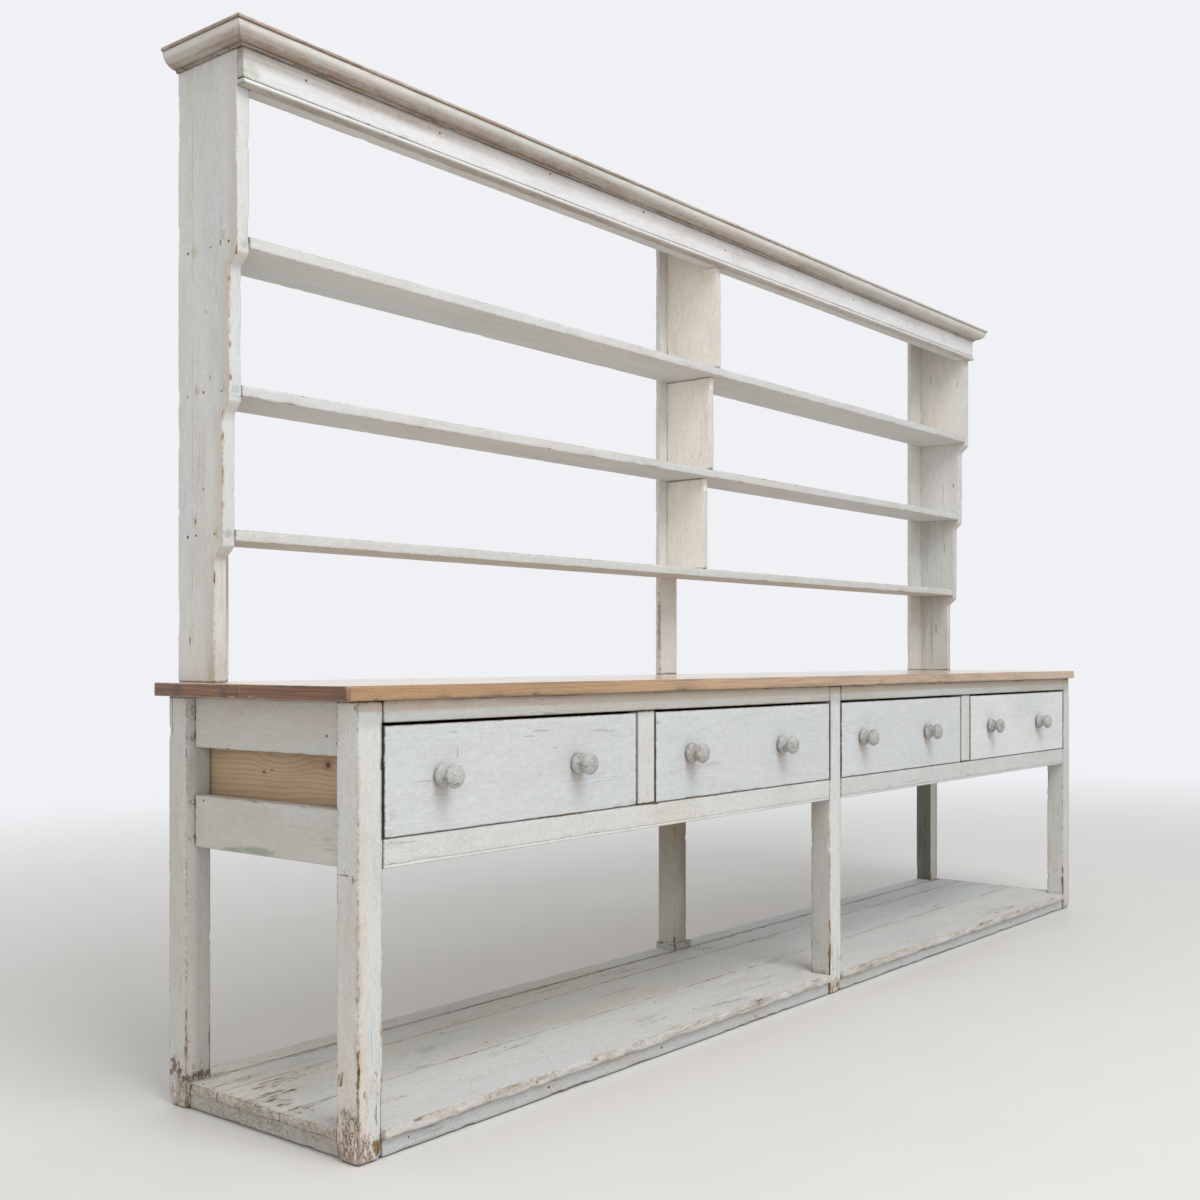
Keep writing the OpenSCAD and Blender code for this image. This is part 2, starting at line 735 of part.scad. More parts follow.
module drawer_1_front() { drawer_front(0); }
module drawer_1_carcass() { drawer_carcass(0); }
module drawer_1_bottom() { drawer_bottom(0); }
module drawer_1_knobs() { knobs(0); }
module drawer_2_front() { drawer_front(1); }
module drawer_2_carcass() { drawer_carcass(1); }
module drawer_2_bottom() { drawer_bottom(1); }
module drawer_2_knobs() { knobs(1); }
module drawer_3_front() { drawer_front(2); }
module drawer_3_carcass() { drawer_carcass(2); }
module drawer_3_bottom() { drawer_bottom(2); }
module drawer_3_knobs() { knobs(2); }
module drawer_4_front() { drawer_front(3); }
module drawer_4_carcass() { drawer_carcass(3); }
module drawer_4_bottom() { drawer_bottom(3); }
module drawer_4_knobs() { knobs(3); }

// Nose and ogee under a shelf, from the depth of one bay to the next, downwards
function ogee(from, to, z) = concat(
    [[from, z]],
    [for (i = [0:ogee_n])
        [from + (to - from) * (1 - cos(180 * i / ogee_n)) / 2, z - step_nose - step_h * i / ogee_n]]);

// Side view of an end board, stepped back under each shelf
module end_board_outline() {
    polygon(concat(
        [[y_back, base_h], [y_back, z_ends_top], [y_bay[0], z_ends_top]],
        ogee(y_bay[0], y_bay[1], z_shelf[0]),
        ogee(y_bay[1], y_bay[2], z_shelf[1]),
        ogee(y_bay[2], y_bay[3], z_shelf[2]),
        [[y_bay[3], base_h]]));
}

// End of a shelf that enters the housing of an end board, s -1 left or 1 right
module shelf_tongue(i, s, grow = 0) {
    x = s < 0 ? rack_inner_x - housing_d : -rack_inner_x;
    y = y_bay[i] + housing_stop;
    block([x, y, z_shelf[i]], [housing_d, y_stile - y, shelf_t], grow);
}

module rack_end(s) {
    color(paint) difference() {
        along_x(s < 0 ? rack_x : -rack_x - end_t, end_t) end_board_outline();
        for (i = [0:2]) shelf_tongue(i, s, joint_gap);
        dowels(joint_gap);
    }
}

module rack_end_left() { rack_end(-1); }
module rack_end_right() { rack_end(1); }

// One full-length shelf
module rack_shelf(i) {
    color(paint) {
        block([rack_inner_x, y_bay[i], z_shelf[i]], [rack_span, y_stile - y_bay[i], shelf_t]);
        for (s = [-1, 1]) shelf_tongue(i, s);
    }
}

module rack_shelf_top() { rack_shelf(0); }
module rack_shelf_middle() { rack_shelf(1); }
module rack_shelf_low() { rack_shelf(2); }

// Stiles against the back: inside each end board, and at the middle behind the dividers
module rack_back_stiles() {
    color(paint) for (x = [rack_inner_x, -stile_w / 2, -rack_inner_x - stile_w])
        block([x, y_stile, base_h], [stile_w, stile_t, z_ends_top - base_h]);
}

// Divider between the top shelf and the roof board, notched under the backing rail
module rack_divider_top() {
    z = z_shelf[0] + shelf_t;
    y_notch = y_bay[0] + backing_t;
    color(paint) along_x(-divider_t / 2, divider_t)
        polygon([[y_bay[0], z], [y_stile, z], [y_stile, z_ends_top],
            [y_notch, z_ends_top], [y_notch, z_frieze], [y_bay[0], z_frieze]]);
}

// Divider between shelf i and the shelf above it
module rack_divider(i) {
    z = z_shelf[i] + shelf_t;
    color(paint) block([-divider_t / 2, y_bay[i], z], [divider_t, y_stile - y_bay[i], z_shelf[i - 1] - z]);
}

module rack_divider_middle() { rack_divider(1); }
module rack_divider_low() { rack_divider(2); }

// Board that closes the top of the rack, over the end boards and the frieze
module rack_roof_board() {
    color(bare_pine) block([rack_x, y_frieze, z_ends_top], [rack_l, y_back - y_frieze, roof_t]);
}

// Frieze board, planted on the front edges of the end boards
module frieze_board() {
    z = z_frieze + bead_h;
    color(paint) block([rack_x, y_frieze, z], [rack_l, frieze_t, z_ends_top - z]);
}

// Rail behind the frieze, between the end boards
module frieze_backing_rail() {
    color(paint) block([rack_inner_x, y_bay[0], z_frieze], [rack_span, backing_t, backing_h]);
}

// Bead with a round nose below the frieze board
module frieze_bead() {
    r = bead_h / 2;
    color(paint) along_x(rack_x, rack_l) {
        translate([y_frieze - bead_out + r, z_frieze + r]) circle(r = r, $fn = 40);
        translate([y_frieze - bead_out + r, z_frieze]) square([frieze_t + bead_out - r, bead_h]);
    }
}

// Section of the cornice: lower fillet, ovolo and upper fillet, as distance out and height
module cornice_section() {
    round_out = foot_out + foot_step;
    run = cornice_out - fillet_out - round_out;
    rise = cornice_h - fillet_h - foot_h;
    polygon(concat(
        [[0, 0], [foot_out, 0], [foot_out, foot_h]],
        [for (a = [0:7.5:90]) [round_out + run * sin(a), foot_h + rise * (1 - cos(a))]],
        [[cornice_out, foot_h + rise], [cornice_out, cornice_h], [0, cornice_h]]));
}

// Cutter that leaves the mitre of a front cornice end, s -1 left or 1 right
module mitre(s) {
    size = 4 * cornice_out;
    translate([s * (rack_l / 2), y_frieze, z_cornice - past]) rotate([0, 0, s < 0 ? -135 : -45])
        translate([0, s < 0 ? -size : 0, 0]) cube([size, size, cornice_h + 2 * past]);
}

module cornice_front() {
    length = rack_l + 2 * cornice_out;
    color(paint) difference() {
        translate([-length / 2, y_frieze, z_cornice]) rotate([90, 0, 90])
            linear_extrude(length) mirror([1, 0]) cornice_section();
        for (s = [-1, 1]) mitre(s);
    }
}

// Cornice along each end of the rack, from the front mitre to the back
module cornice_returns() {
    length = y_back - y_frieze + cornice_out;
    color(paint) for (s = [-1, 1]) intersection() {
        translate([s * rack_l / 2, y_back, z_cornice]) rotate([90, 0, 0])
            linear_extrude(length) mirror([s < 0 ? 1 : 0, 0]) cornice_section();
        union() {
            mitre(s);
            block([s < 0 ? rack_x - 2 * cornice_out : -rack_x, y_frieze, z_cornice - past],
                [2 * cornice_out, y_back - y_frieze, cornice_h + 2 * past]);
        }
    }
}

// Dowels that locate the rack on the worktop
module rack_dowels() {
    color(bare_pine) dowels();
}

worktop_front_board();
worktop_back_board();
worktop_tongue();
leg_front_left();
leg_front_middle();
leg_front_right();
leg_back_left();
leg_back_middle();
leg_back_right();
front_top_rails();
front_bottom_rails();
drawer_muntins();
side_upper_rails();
side_lower_rails();
back_panels();
drawer_runners();
drawer_guides();
drawer_kickers();
joint_pegs();
plinth_front_rails();
plinth_end_rails();
plinth_back_rails();
potboard_bearers();
potboard_board_1();
potboard_board_2();
potboard_board_3();
potboard_board_4();
leg_collar();
drawer_1_front();
drawer_1_carcass();
drawer_1_bottom();
drawer_1_knobs();
drawer_2_front();
drawer_2_carcass();
drawer_2_bottom();
drawer_2_knobs();
drawer_3_front();
drawer_3_carcass();
drawer_3_bottom();
drawer_3_knobs();
drawer_4_front();
drawer_4_carcass();
drawer_4_bottom();
drawer_4_knobs();
rack_end_left();
rack_end_right();
rack_back_stiles();
rack_shelf_top();
rack_shelf_middle();
rack_shelf_low();
rack_divider_top();
rack_divider_middle();
rack_divider_low();
rack_roof_board();
frieze_board();
frieze_backing_rail();
frieze_bead();
cornice_front();
cornice_returns();
rack_dowels();
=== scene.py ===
"""Looks for a long painted potboard dresser with an open plate rack.

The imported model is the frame. The floor, the lamps and the camera are set up
first, then worn boards, turned knobs, nails and pegs are built around it.
"""

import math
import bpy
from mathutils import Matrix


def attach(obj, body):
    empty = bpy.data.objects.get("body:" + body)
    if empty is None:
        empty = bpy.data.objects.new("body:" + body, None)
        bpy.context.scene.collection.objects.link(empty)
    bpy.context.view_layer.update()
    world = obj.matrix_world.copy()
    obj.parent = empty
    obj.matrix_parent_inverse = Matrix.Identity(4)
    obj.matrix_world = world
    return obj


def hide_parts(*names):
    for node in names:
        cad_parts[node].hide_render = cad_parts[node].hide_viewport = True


bl_info = {
    "name": "Potboard Dresser",
    "version": (1, 0, 0),
    "blender": (4, 5, 0),
    "location": "View3D > Sidebar > Dresser",
    "description": "Builds the worn boards, knobs, nails and finishes of a painted potboard dresser",
    "category": "Object",
}

from functools import reduce

import bmesh
import bpy
import numpy as np
from bpy.props import FloatProperty, FloatVectorProperty, IntProperty, PointerProperty
from bpy.types import Operator, Panel, PropertyGroup
from mathutils import Vector

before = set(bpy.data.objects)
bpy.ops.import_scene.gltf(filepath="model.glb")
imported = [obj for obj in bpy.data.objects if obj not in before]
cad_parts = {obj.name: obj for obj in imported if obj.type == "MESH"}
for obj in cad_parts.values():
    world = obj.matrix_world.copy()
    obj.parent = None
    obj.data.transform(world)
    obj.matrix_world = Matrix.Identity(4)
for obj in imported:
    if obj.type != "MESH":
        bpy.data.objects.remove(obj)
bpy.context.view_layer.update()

MM = 0.001

# Sizes in millimetres, as the frame has them
LEG_W = 60.0
LEG_X = (-1734.0, -30.0, 1674.0)
HALVES = ((-1674.0, -30.0), (30.0, 1674.0))
Y_FRONT, Y_BACK = -270.0, 320.0
Y_BACK_LEGS = 260.0
BETWEEN_LEGS = (Y_FRONT + LEG_W, Y_BACK_LEGS)
Z_UNDER_TOP, Z_TOP = 852.0, 880.0
RAIL_T = 30.0
SIDE_RAIL_X = ((-1714.0, -1686.0), (1686.0, 1714.0))
OPENINGS = ((-1674.0, -900.0), (-834.0, -30.0), (30.0, 804.0), (870.0, 1674.0))
Z_OPENING = (594.0, 810.0)
Z_RAIL_BOTTOM = 538.0
RACK_X, RACK_INNER_X = 1712.0, 1682.0
Z_ENDS_TOP = 2178.0
BAY_Y = (119.0, 145.0, 167.0, 194.0)
SHELF_Z = (1760.0, 1463.0, 1170.0)
SHELF_T = 24.0
Y_STILE, Y_FRIEZE = 304.0, 101.0
POT_SEAMS = (-43.0, 156.0, 247.0)
STEP_NOSE, STEP_H, STEP_N = 8.0, 32.0, 16
Z_POTBOARD = 56.0
FOOT_H, FOOT_IN = 18.0, 4.5
KNOB_X = ((-1523.0, -1115.0), (-694.0, -286.0), (151.0, 559.0), (1024.0, 1432.0))
Z_KNOB = 703.7
STILE_NAIL_Z = (1772, 1475, 1182, 2166, 892)
NAIL_SINK = 0.7
Z_POTBOARD_UNDER, Z_PLINTH = 35.0, (3.0, 35.0)
Z_DRAWER_FRONT = (595.4, 804.0)
DRAWER_LAP, DRAWER_FRONT_T = 6.5, 22.0
BACK_PANEL_Y, Z_BACK_JOINT = (290.0, 312.0), (694.6, 695.0)
Y_FRIEZE_BACK = 119.0
Z_BEAD, Z_FRIEZE, Z_CORNICE = 2080.0, 2093.0, 2154.0
BEAD_R = 6.5
# Centres and reaches of the knots seen through the slot at the left end
KNOTS_BEHIND_SLOT = ((-1672, -112, 724, 20, 9, 7), (-1672, 85, 701, 20, 5, 3), (-1672, 60, 706, 20, 4, 2))

PLANES = {"xy": (0, 1, 2), "xz": (0, 2, 1), "yz": (1, 2, 0)}
LEFT_HANDED = "xz"
NEAR = 6.0
SHARP_TURN = math.radians(30)
# Heights of the paint's relief, in metres
PAINT_DEPTH, KNOB_PAINT_DEPTH = 0.0007, 0.0004
# Colour of the darkest dirt and of the painted shadow lines, and the crackle that all the old paint has
DARK_DIRT_AND_SHADOW = (0.045, 0.036, 0.028)
FAINT_CRACKLE = 0.06
# Inputs of the old paint that every finish sets
AMOUNTS = ("Clouds", "Dirt", "Edge chips", "Field chips", "Specks", "Scratches")


def srgb(red, green, blue):
    """Scene-linear colour from 0 to 255 display values."""
    shares = (value / 255 for value in (red, green, blue))
    return tuple(v / 12.92 if v <= 0.04045 else ((v + 0.055) / 1.055) ** 2.4 for v in shares)


# ---------------------------------------------------------------- settings


def shade(name, description, *values):
    """A colour setting, from 0 to 255 display values."""
    return FloatVectorProperty(name=name, description=description, subtype="COLOR", size=3,
                               default=srgb(*values), min=0, max=1)


def length(name, description, default, low, high):
    """A setting in metres."""
    return FloatProperty(name=name, description=description, default=default, min=low, max=high, unit="LENGTH")


class DresserWear(PropertyGroup):
    """How worn the boards are."""

    arris: length("Arris radius", "Rounding that handling has given to the boards' edges", 0.0016, 0.0005, 0.004)
    rub: length("Rubbing", "Depth of the long soft hollows along the edges", 0.0007, 0.0, 0.002)
    chip: length("Chip depth", "Depth of the chips along the edges", 0.0024, 0.0, 0.005)
    step: length("Edge spacing", "Spacing of the points along an edge", 0.008, 0.004, 0.03)
    nail: length("Nail head", "Width of a cut nail's head", 0.006, 0.003, 0.012)
    seed: IntProperty(name="Seed", description="Starting number for the wear", default=11, min=0)


class DresserPaint(PropertyGroup):
    """Colours of the paint, the dirt and the wood."""

    rack: shade("Rack paint", "Chalky paint of the rack", 220, 218, 214)
    # Painted light: this paint is set brighter to lift the shade inside the rack; its warmth is its own
    inner: shade("Divider paint", "Warmer paint of the dividers and shelves, painted brighter against the shade in the rack", 243, 236, 226)
    base: shade("Base paint", "Chalky paint of the legs and rails", 212, 211, 207)
    drawer: shade("Drawer paint", "Thin bluish paint of the drawer fronts", 207, 210, 211)
    potboard: shade("Potboard paint", "Paint of the low shelf, scrubbed thin", 212, 214, 214)
    plinth: shade("Plinth paint", "Scuffed paint below the potboard", 192, 194, 194)
    knob: shade("Knob paint", "Greyed paint of the knobs", 177, 177, 174)
    cool: shade("Older coat", "Blue-green coat that shows through in clouds", 200, 208, 209)
    grime: shade("Grime", "Yellowed and handled places", 192, 177, 160)
    ground: shade("Wood under chips", "Old pine where the paint is gone", 148, 118, 84)
    green: shade("Green leg", "Older green paint left on the back right leg", 112, 118, 104)


class DresserPine(PropertyGroup):
    """Colours of the pine."""

    raw_light: shade("Raw pine", "Unfinished pine between its rings", 190, 164, 134)
    raw_dark: shade("Raw pine rings", "Late wood of the unfinished pine", 148, 114, 82)
    wax_light: shade("Waxed pine", "Waxed worktop between its rings", 204, 170, 134)
    wax_dark: shade("Waxed pine rings", "Late wood of the waxed worktop", 154, 112, 78)
    knot: shade("Knots", "Knots in the pine", 84, 50, 28)


class DresserStage(PropertyGroup):
    """Floor, lamps and camera."""

    floor: shade("Floor", "Plain pale floor", 220, 219, 216)
    backdrop: shade("Backdrop", "Plain pale background", 240, 241, 244)
    ambient: FloatProperty(name="Soft light", description="Strength of the light from all round",
                           default=0.62, min=0, max=2)
    key: FloatProperty(name="Front lamp", description="Power of the large lamp before the dresser",
                       default=350.0, min=0, unit="POWER")
    side: FloatProperty(name="Side lamp", description="Power of the lamp at the left end",
                        default=75.0, min=0, unit="POWER")
    lens: FloatProperty(name="Lens", description="Focal length of the camera",
                        default=0.04245, min=0.01, max=0.2, subtype="DISTANCE_CAMERA")


class DresserSettings(PropertyGroup):
    """All that a user would change."""

    wear: PointerProperty(type=DresserWear)
    paint: PointerProperty(type=DresserPaint)
    pine: PointerProperty(type=DresserPine)
    stage: PointerProperty(type=DresserStage)


# ---------------------------------------------------------------- nodes


class Wire:
    """A node's output, which can stand in a sum as a number does."""

    def __init__(self, socket):
        self.socket, self.tree = socket, socket.id_data

    def __add__(self, other):
        return maths("ADD", self, other)

    def __sub__(self, other):
        return maths("SUBTRACT", self, other)

    def __rsub__(self, other):
        return maths("SUBTRACT", other, self)

    def __mul__(self, other):
        return maths("MULTIPLY", self, other)

    def __pow__(self, other):
        return maths("POWER", self, other)

    def __abs__(self):
        return maths("ABSOLUTE", self)


def feed(node, feeds):
    """Give a node's inputs their wires and values; a colour's alpha is 1."""
    for key, value in feeds.items():
        socket = node.inputs[key]
        if isinstance(value, Wire):
            value.tree.links.new(value.socket, socket)
        else:
            socket.default_value = (*value, 1.0) if socket.type == "RGBA" else value


def put(tree, kind, feeds=None, **settings):
    """Add a node, set its options, and feed its inputs."""
    made = tree.nodes.new(kind)
    for key, value in settings.items():
        setattr(made, key, value)
    feed(made, feeds or {})
    return made


def wires(node):
    """A node's outputs by name."""
    return {socket.name: Wire(socket) for socket in node.outputs}


def wired(kind, feeds, output=0, **settings):
    """An output of a new node, in the tree of the first wire that feeds it."""
    tree = next(value.tree for value in feeds.values() if isinstance(value, Wire))
    return Wire(put(tree, kind, feeds, **settings).outputs[output])


def maths(operation, *values):
    """A Math node's output."""
    return wired("ShaderNodeMath", dict(enumerate(values)), operation=operation)


def reckon(operation, *vectors, output=0):
    """A Vector Math node's output."""
    return wired("ShaderNodeVectorMath", dict(enumerate(vectors)), output, operation=operation)


def most(first, second):
    """The larger of two values."""
    return maths("MAXIMUM", first, second)


def clamped(wire):
    """The same sum, kept from 0 to 1."""
    wire.socket.node.use_clamp = True
    return wire


def fade(value, low, high, first=0.0, last=1.0):
    """A smooth step of value from low to high."""
    return wired("ShaderNodeMapRange", {0: value, 1: low, 2: high, 3: first, 4: last},
                 interpolation_type="SMOOTHSTEP")


def tinted(share, first, second, way="MIX"):
    """Two colours mixed."""
    return wired("ShaderNodeMix", {0: share, 6: first, 7: second}, 2, data_type="RGBA", blend_type=way)


def layered(colour, *coats):
    """A colour under others, each a share and its colour, from the lowest up."""
    for share, coat in coats:
        colour = tinted(share, colour, coat)
    return colour


def xyz(vector):
    """The three parts of a vector."""
    return [Wire(socket) for socket in put(vector.tree, "ShaderNodeSeparateXYZ", {0: vector}).outputs]


def vector_of(*parts):
    """A vector made of three parts."""
    return wired("ShaderNodeCombineXYZ", dict(enumerate(parts)))


def stretched(vector, scale, shift=(0.0, 0.0, 0.0)):
    """A vector scaled along each axis."""
    return reckon("MULTIPLY_ADD", vector, scale, shift)


def clouded(vector, scale, detail=3.0, rough=0.5, shift=(0.0, 0.0, 0.0)):
    """Noise over a vector, stretched alike along all axes or by three scales."""
    scale = (scale,) * 3 if isinstance(scale, float) else scale
    return wired("ShaderNodeTexNoise", {"Vector": stretched(vector, scale, shift), "Scale": 1.0,
                                        "Detail": detail, "Roughness": rough})


def cells_of(vector, output=0, **settings):
    """Voronoi cells over a vector."""
    return wired("ShaderNodeTexVoronoi", {"Vector": vector, "Scale": 1.0}, output, **settings)


def new_group(name, inputs, outputs):
    """A shader group with named sockets; returns the wires it is given and the node it ends in."""
    tree = bpy.data.node_groups.new(name, "ShaderNodeTree")
    for kind, defaults in inputs.items():
        for label, value in defaults.items():
            socket = tree.interface.new_socket(name=label, in_out="INPUT", socket_type=f"NodeSocket{kind}")
            socket.default_value = (*value, 1.0) if kind == "Color" else value
    for label, kind in outputs.items():
        tree.interface.new_socket(name=label, in_out="OUTPUT", socket_type=f"NodeSocket{kind}")
    return wires(tree.nodes.new("NodeGroupInput")), tree.nodes.new("NodeGroupOutput")


def pine_grain_group():
    """Growth rings, fibre and knots of a pine board whose grain runs along the vector's X."""
    given, result = new_group("pine grain", {
        "Vector": {"Vector": (0.0, 0.0, 0.0)},
        "Color": {"Light": (0.6, 0.4, 0.2), "Dark": (0.3, 0.2, 0.1), "Knot": (0.1, 0.05, 0.02)},
        "Float": {"Rings": 190.0, "Knots": 1.0, "Contrast": 1.0}}, {"Color": "Color", "Height": "Float"})
    vector = given["Vector"]
    warp = clouded(vector, (1.1, 6.0, 6.0), 3.0, 0.5)
    wave = (warp - 0.5) * 0.07
    far = cells_of(stretched(vector, (3.1, 9.0, 9.0)), "Distance")
    halo = fade(far, 0.10, 0.42, 1.0, 0.0) * given["Knots"]
    _, y, z = xyz(vector)
    across = y + 0.04 + wave
    deep = z - 0.10 + wave
    radius = maths("SQRT", across * across + deep * deep) + halo * 0.010
    phase = maths("FRACT", radius * given["Rings"])
    late = fade(phase, 0.35, 0.88) * fade(phase, 0.92, 1.0, 1.0, 0.0)
    fibre = clouded(vector, (16.0, 620.0, 620.0), 2.0)
    tone = clouded(vector, (1.7, 11.0, 11.0), 3.0)
    share = late * 0.55 + (fibre - 0.45) * 0.55 + fade(tone, 0.45, 0.75, 0.0, 0.35)
    share = clamped(share * given["Contrast"])
    colour = tinted(share, given["Light"], given["Dark"])
    knot = fade(far, 0.085, 0.125, 1.0, 0.0) * given["Knots"]
    ring = fade(far, 0.12, 0.2, 0.55, 0.0) * given["Knots"]
    colour = tinted(most(knot, ring), colour, given["Knot"])
    feed(result, {"Color": colour, "Height": late * 0.6 + fibre * 0.5})


def old_paint_group():
    """Layers of old paint: mottling, clouds of an older coat, grime, scratches and chips, with the painted shade and
    painted shadow lines that a finish passes in.
    """
    given, result = new_group("old paint", {
        "Vector": {"Grain": (0.0, 0.0, 0.0), "Ends": (0.0, 0.0, 0.0), "Flakes": (38.0, 105.0, 105.0)},
        "Color": {"Paint": (0.7, 0.7, 0.7), "Older coat": (0.6, 0.6, 0.6), "Grime": (0.5, 0.4, 0.3),
                  "Ground": (0.2, 0.1, 0.05)},
        "Float": {"Edge": 0.0, "Nick": 0.0, "Low": 0.0, "Soil": 0.0, "Lines": 0.0, "Bare": 0.0, "Clouds": 0.5,
                  "Dirt": 0.5, "Edge chips": 0.5, "Field chips": 0.2, "Specks": 0.3, "Scratches": 0.5,
                  "Joint dirt": 0.6, "End wear": 0.0, "Crackle": 0.0}},
        {"Color": "Color", "Roughness": "Float", "Height": "Float"})
    grain, edge = given["Grain"], given["Edge"]

    brush = clouded(grain, (9.0, 480.0, 480.0), 3.0, 0.6)
    wide = clouded(grain, (1.3, 4.5, 4.5), 4.0, 0.55)
    mottle = clouded(grain, (38.0, 85.0, 85.0), 5.0, 0.7, (2.2, 4.4, 0.6))
    spots = clouded(grain, (5.0, 15.0, 15.0), 5.0, 0.62, (3.1, 0.7, 1.9))
    flakes = clouded(grain, given["Flakes"], 4.0, 0.6, (0.3, 5.2, 2.2))
    zone = fade(clouded(grain, (2.0, 5.0, 5.0), 2.0, 0.5, (5.5, 8.1, 0.2)), 0.50, 0.66)
    lines = clouded(grain, (3.0, 95.0, 95.0), 4.0, 0.55, (7.7, 1.2, 0.4))
    gate = clouded(grain, (4.5, 14.0, 14.0), 2.0, 0.5, (1.4, 9.9, 4.1))
    fine = clouded(grain, (260.0, 420.0, 420.0), 2.0, 0.6)
    from_low_end, from_high_end, board_tone = xyz(given["Ends"])
    nearest = maths("MINIMUM", from_low_end, from_high_end)
    worn_end = (fade(nearest, 0.0, 0.40, 0.5, 0.0) + fade(nearest, 0.0, 0.09, 0.5, 0.0)) * given["End wear"]

    # Coats of paint, the grime and painted shade on them, and their mottling
    colour = tinted(fade(wide, 0.40, 0.68) * given["Clouds"], given["Paint"], given["Older coat"])
    stain = fade(spots, 0.46, 0.76) * 0.75
    stain += edge * fade(spots, 0.40, 0.62, 0.08, 0.75)
    stain *= given["Dirt"]
    stain += given["Soil"] * fade(mottle, 0.30, 0.70, 0.65, 1.15)
    stain = clamped(stain + worn_end * fade(mottle, 0.35, 0.65, 0.05, 0.45))
    colour = tinted(stain, colour, given["Grime"])
    tone = fade(mottle, 0.25, 0.75, 0.945, 1.03) * fade(brush, 0.30, 0.70, 0.95, 1.025)
    tone *= fade(board_tone, 0.0, 1.0, 0.975, 1.02)
    colour = tinted(1.0, colour, tone, "MULTIPLY")
    colour = tinted(fade(fine, 0.60, 0.70) * given["Specks"], colour, DARK_DIRT_AND_SHADOW)

    # Thin broken lines of dirt along the arrises
    grit = clouded(grain, (110.0, 190.0, 190.0), 4.0, 0.65, (0.9, 6.1, 3.3))
    thin = edge ** 3.0 * fade(grit, 0.46, 0.60, 0.0, 0.85)
    thin *= fade(spots, 0.36, 0.52, 0.3, 1.0)
    beige = tinted(0.5, given["Grime"], given["Ground"])
    colour = tinted(thin * given["Edge chips"], colour, tinted(0.45, beige, DARK_DIRT_AND_SHADOW))

    # Crackled paint: beige and ochre flakes parted by dark cracks
    shaken = reckon("ADD", stretched(grain, (42.0, 120.0, 120.0)), mottle * 2.6)
    flake, hue, _ = xyz(cells_of(shaken, "Color"))
    rift = cells_of(shaken, feature="DISTANCE_TO_EDGE")
    aged = tinted(fade(hue, 0.35, 0.65), given["Grime"], beige)
    crackle = given["Crackle"] + FAINT_CRACKLE
    colour = tinted(clamped(crackle * fade(flake + crackle * 0.25, 0.55, 0.75, 0.15, 0.9)), colour, aged)
    rift = fade(rift, 0.02, 0.13, 0.95, 0.0) * fade(spots, 0.36, 0.54, 0.2, 1.0)
    colour = tinted(clamped(rift * crackle), colour, DARK_DIRT_AND_SHADOW)

    # Scratches along the grain
    scratch = fade(abs(lines - 0.5), 0.004, 0.020, 1.0, 0.0) * fade(gate, 0.60, 0.68)
    low = given["Low"] * given["Low"]
    scratch = clamped(scratch * (given["Scratches"] + low * 0.8))
    colour = tinted(scratch * 0.75, colour, DARK_DIRT_AND_SHADOW)

    # Chips: down to a beige undercoat, to the wood, or to dark old wood
    reach = (edge * given["Edge chips"] * (zone * 0.16 + 0.03) + given["Nick"] * 0.15 + low * 0.15
             + edge * given["Low"] * 0.13 + given["Field chips"] * 0.10 + worn_end * 0.14 + given["Bare"] * 0.24)
    level = flakes + reach + (spots - 0.5) * 0.35
    rim = fade(level, 0.735, 0.775)
    chip = fade(level, 0.775, 0.79)
    under = tinted(fade(gate, 0.42, 0.56), tinted(0.45, given["Grime"], given["Ground"]), given["Ground"])
    deep = fade(level, 0.80, 0.90) * fade(brush, 0.42, 0.62, 0.12, 1.0)
    under = tinted(deep, under, DARK_DIRT_AND_SHADOW)
    colour = layered(colour, (rim * 0.30, tinted(0.5, given["Ground"], DARK_DIRT_AND_SHADOW)), (chip, under))

    # Dirt where a board ends against its neighbour, in the seams, and the painted shadow lines that a finish passes
    # in
    joint = nearest + (mottle - 0.5) * 0.010
    joint = fade(joint, 0.0, 0.006, 1.0, 0.0) * given["Joint dirt"]
    colour = tinted(clamped(joint + given["Lines"]), colour, DARK_DIRT_AND_SHADOW)

    height = brush * 0.22 + wide * 0.5 + mottle * 0.25 - chip * 0.8 - scratch * 0.5
    feed(result, {"Color": colour, "Roughness": fade(mottle, 0.3, 0.7, 0.58, 0.76), "Height": height})


def group_node(tree, name, feeds):
    """The outputs of a placed copy of one of the groups."""
    return wires(put(tree, "ShaderNodeGroup", feeds, node_tree=bpy.data.node_groups[name]))


def new_finish(name):
    """A material; returns it, its shader, and the place of each point in the room."""
    finish = bpy.data.materials.new(name)
    finish.use_nodes = True
    tree = finish.node_tree
    tree.nodes.clear()
    shader = put(tree, "ShaderNodeBsdfPrincipled")
    put(tree, "ShaderNodeOutputMaterial", {"Surface": Wire(shader.outputs[0])})
    return finish, shader, Wire(put(tree, "ShaderNodeTexCoord").outputs["Object"])


def read(tree, label, output="Vector"):
    """A named attribute of the mesh."""
    return Wire(put(tree, "ShaderNodeAttribute", attribute_name=label, attribute_type="GEOMETRY").outputs[output])


def bumped(height, depth):
    """The normal of a height that is given in parts of depth, in metres."""
    return wired("ShaderNodeBump", {"Height": height, "Distance": depth, "Strength": 1.0}, "Normal")


def marks(place, spots, rough=2.4, fineness=55.0):
    """A mask of ragged marks, each a centre and a reach along X, Y and Z, in millimetres."""
    ragged = (clouded(place, fineness, 5.0, 0.7) - 0.5) * rough
    masks = []
    for spot in spots:
        centre, reach = ([v * MM for v in part] for part in (spot[:3], spot[3:]))
        far = reckon("LENGTH", reckon("DIVIDE", reckon("SUBTRACT", place, centre), reach), output="Value")
        masks.append(fade(far + ragged, 0.45, 1.0, 1.0, 0.0))
    return reduce(most, masks)


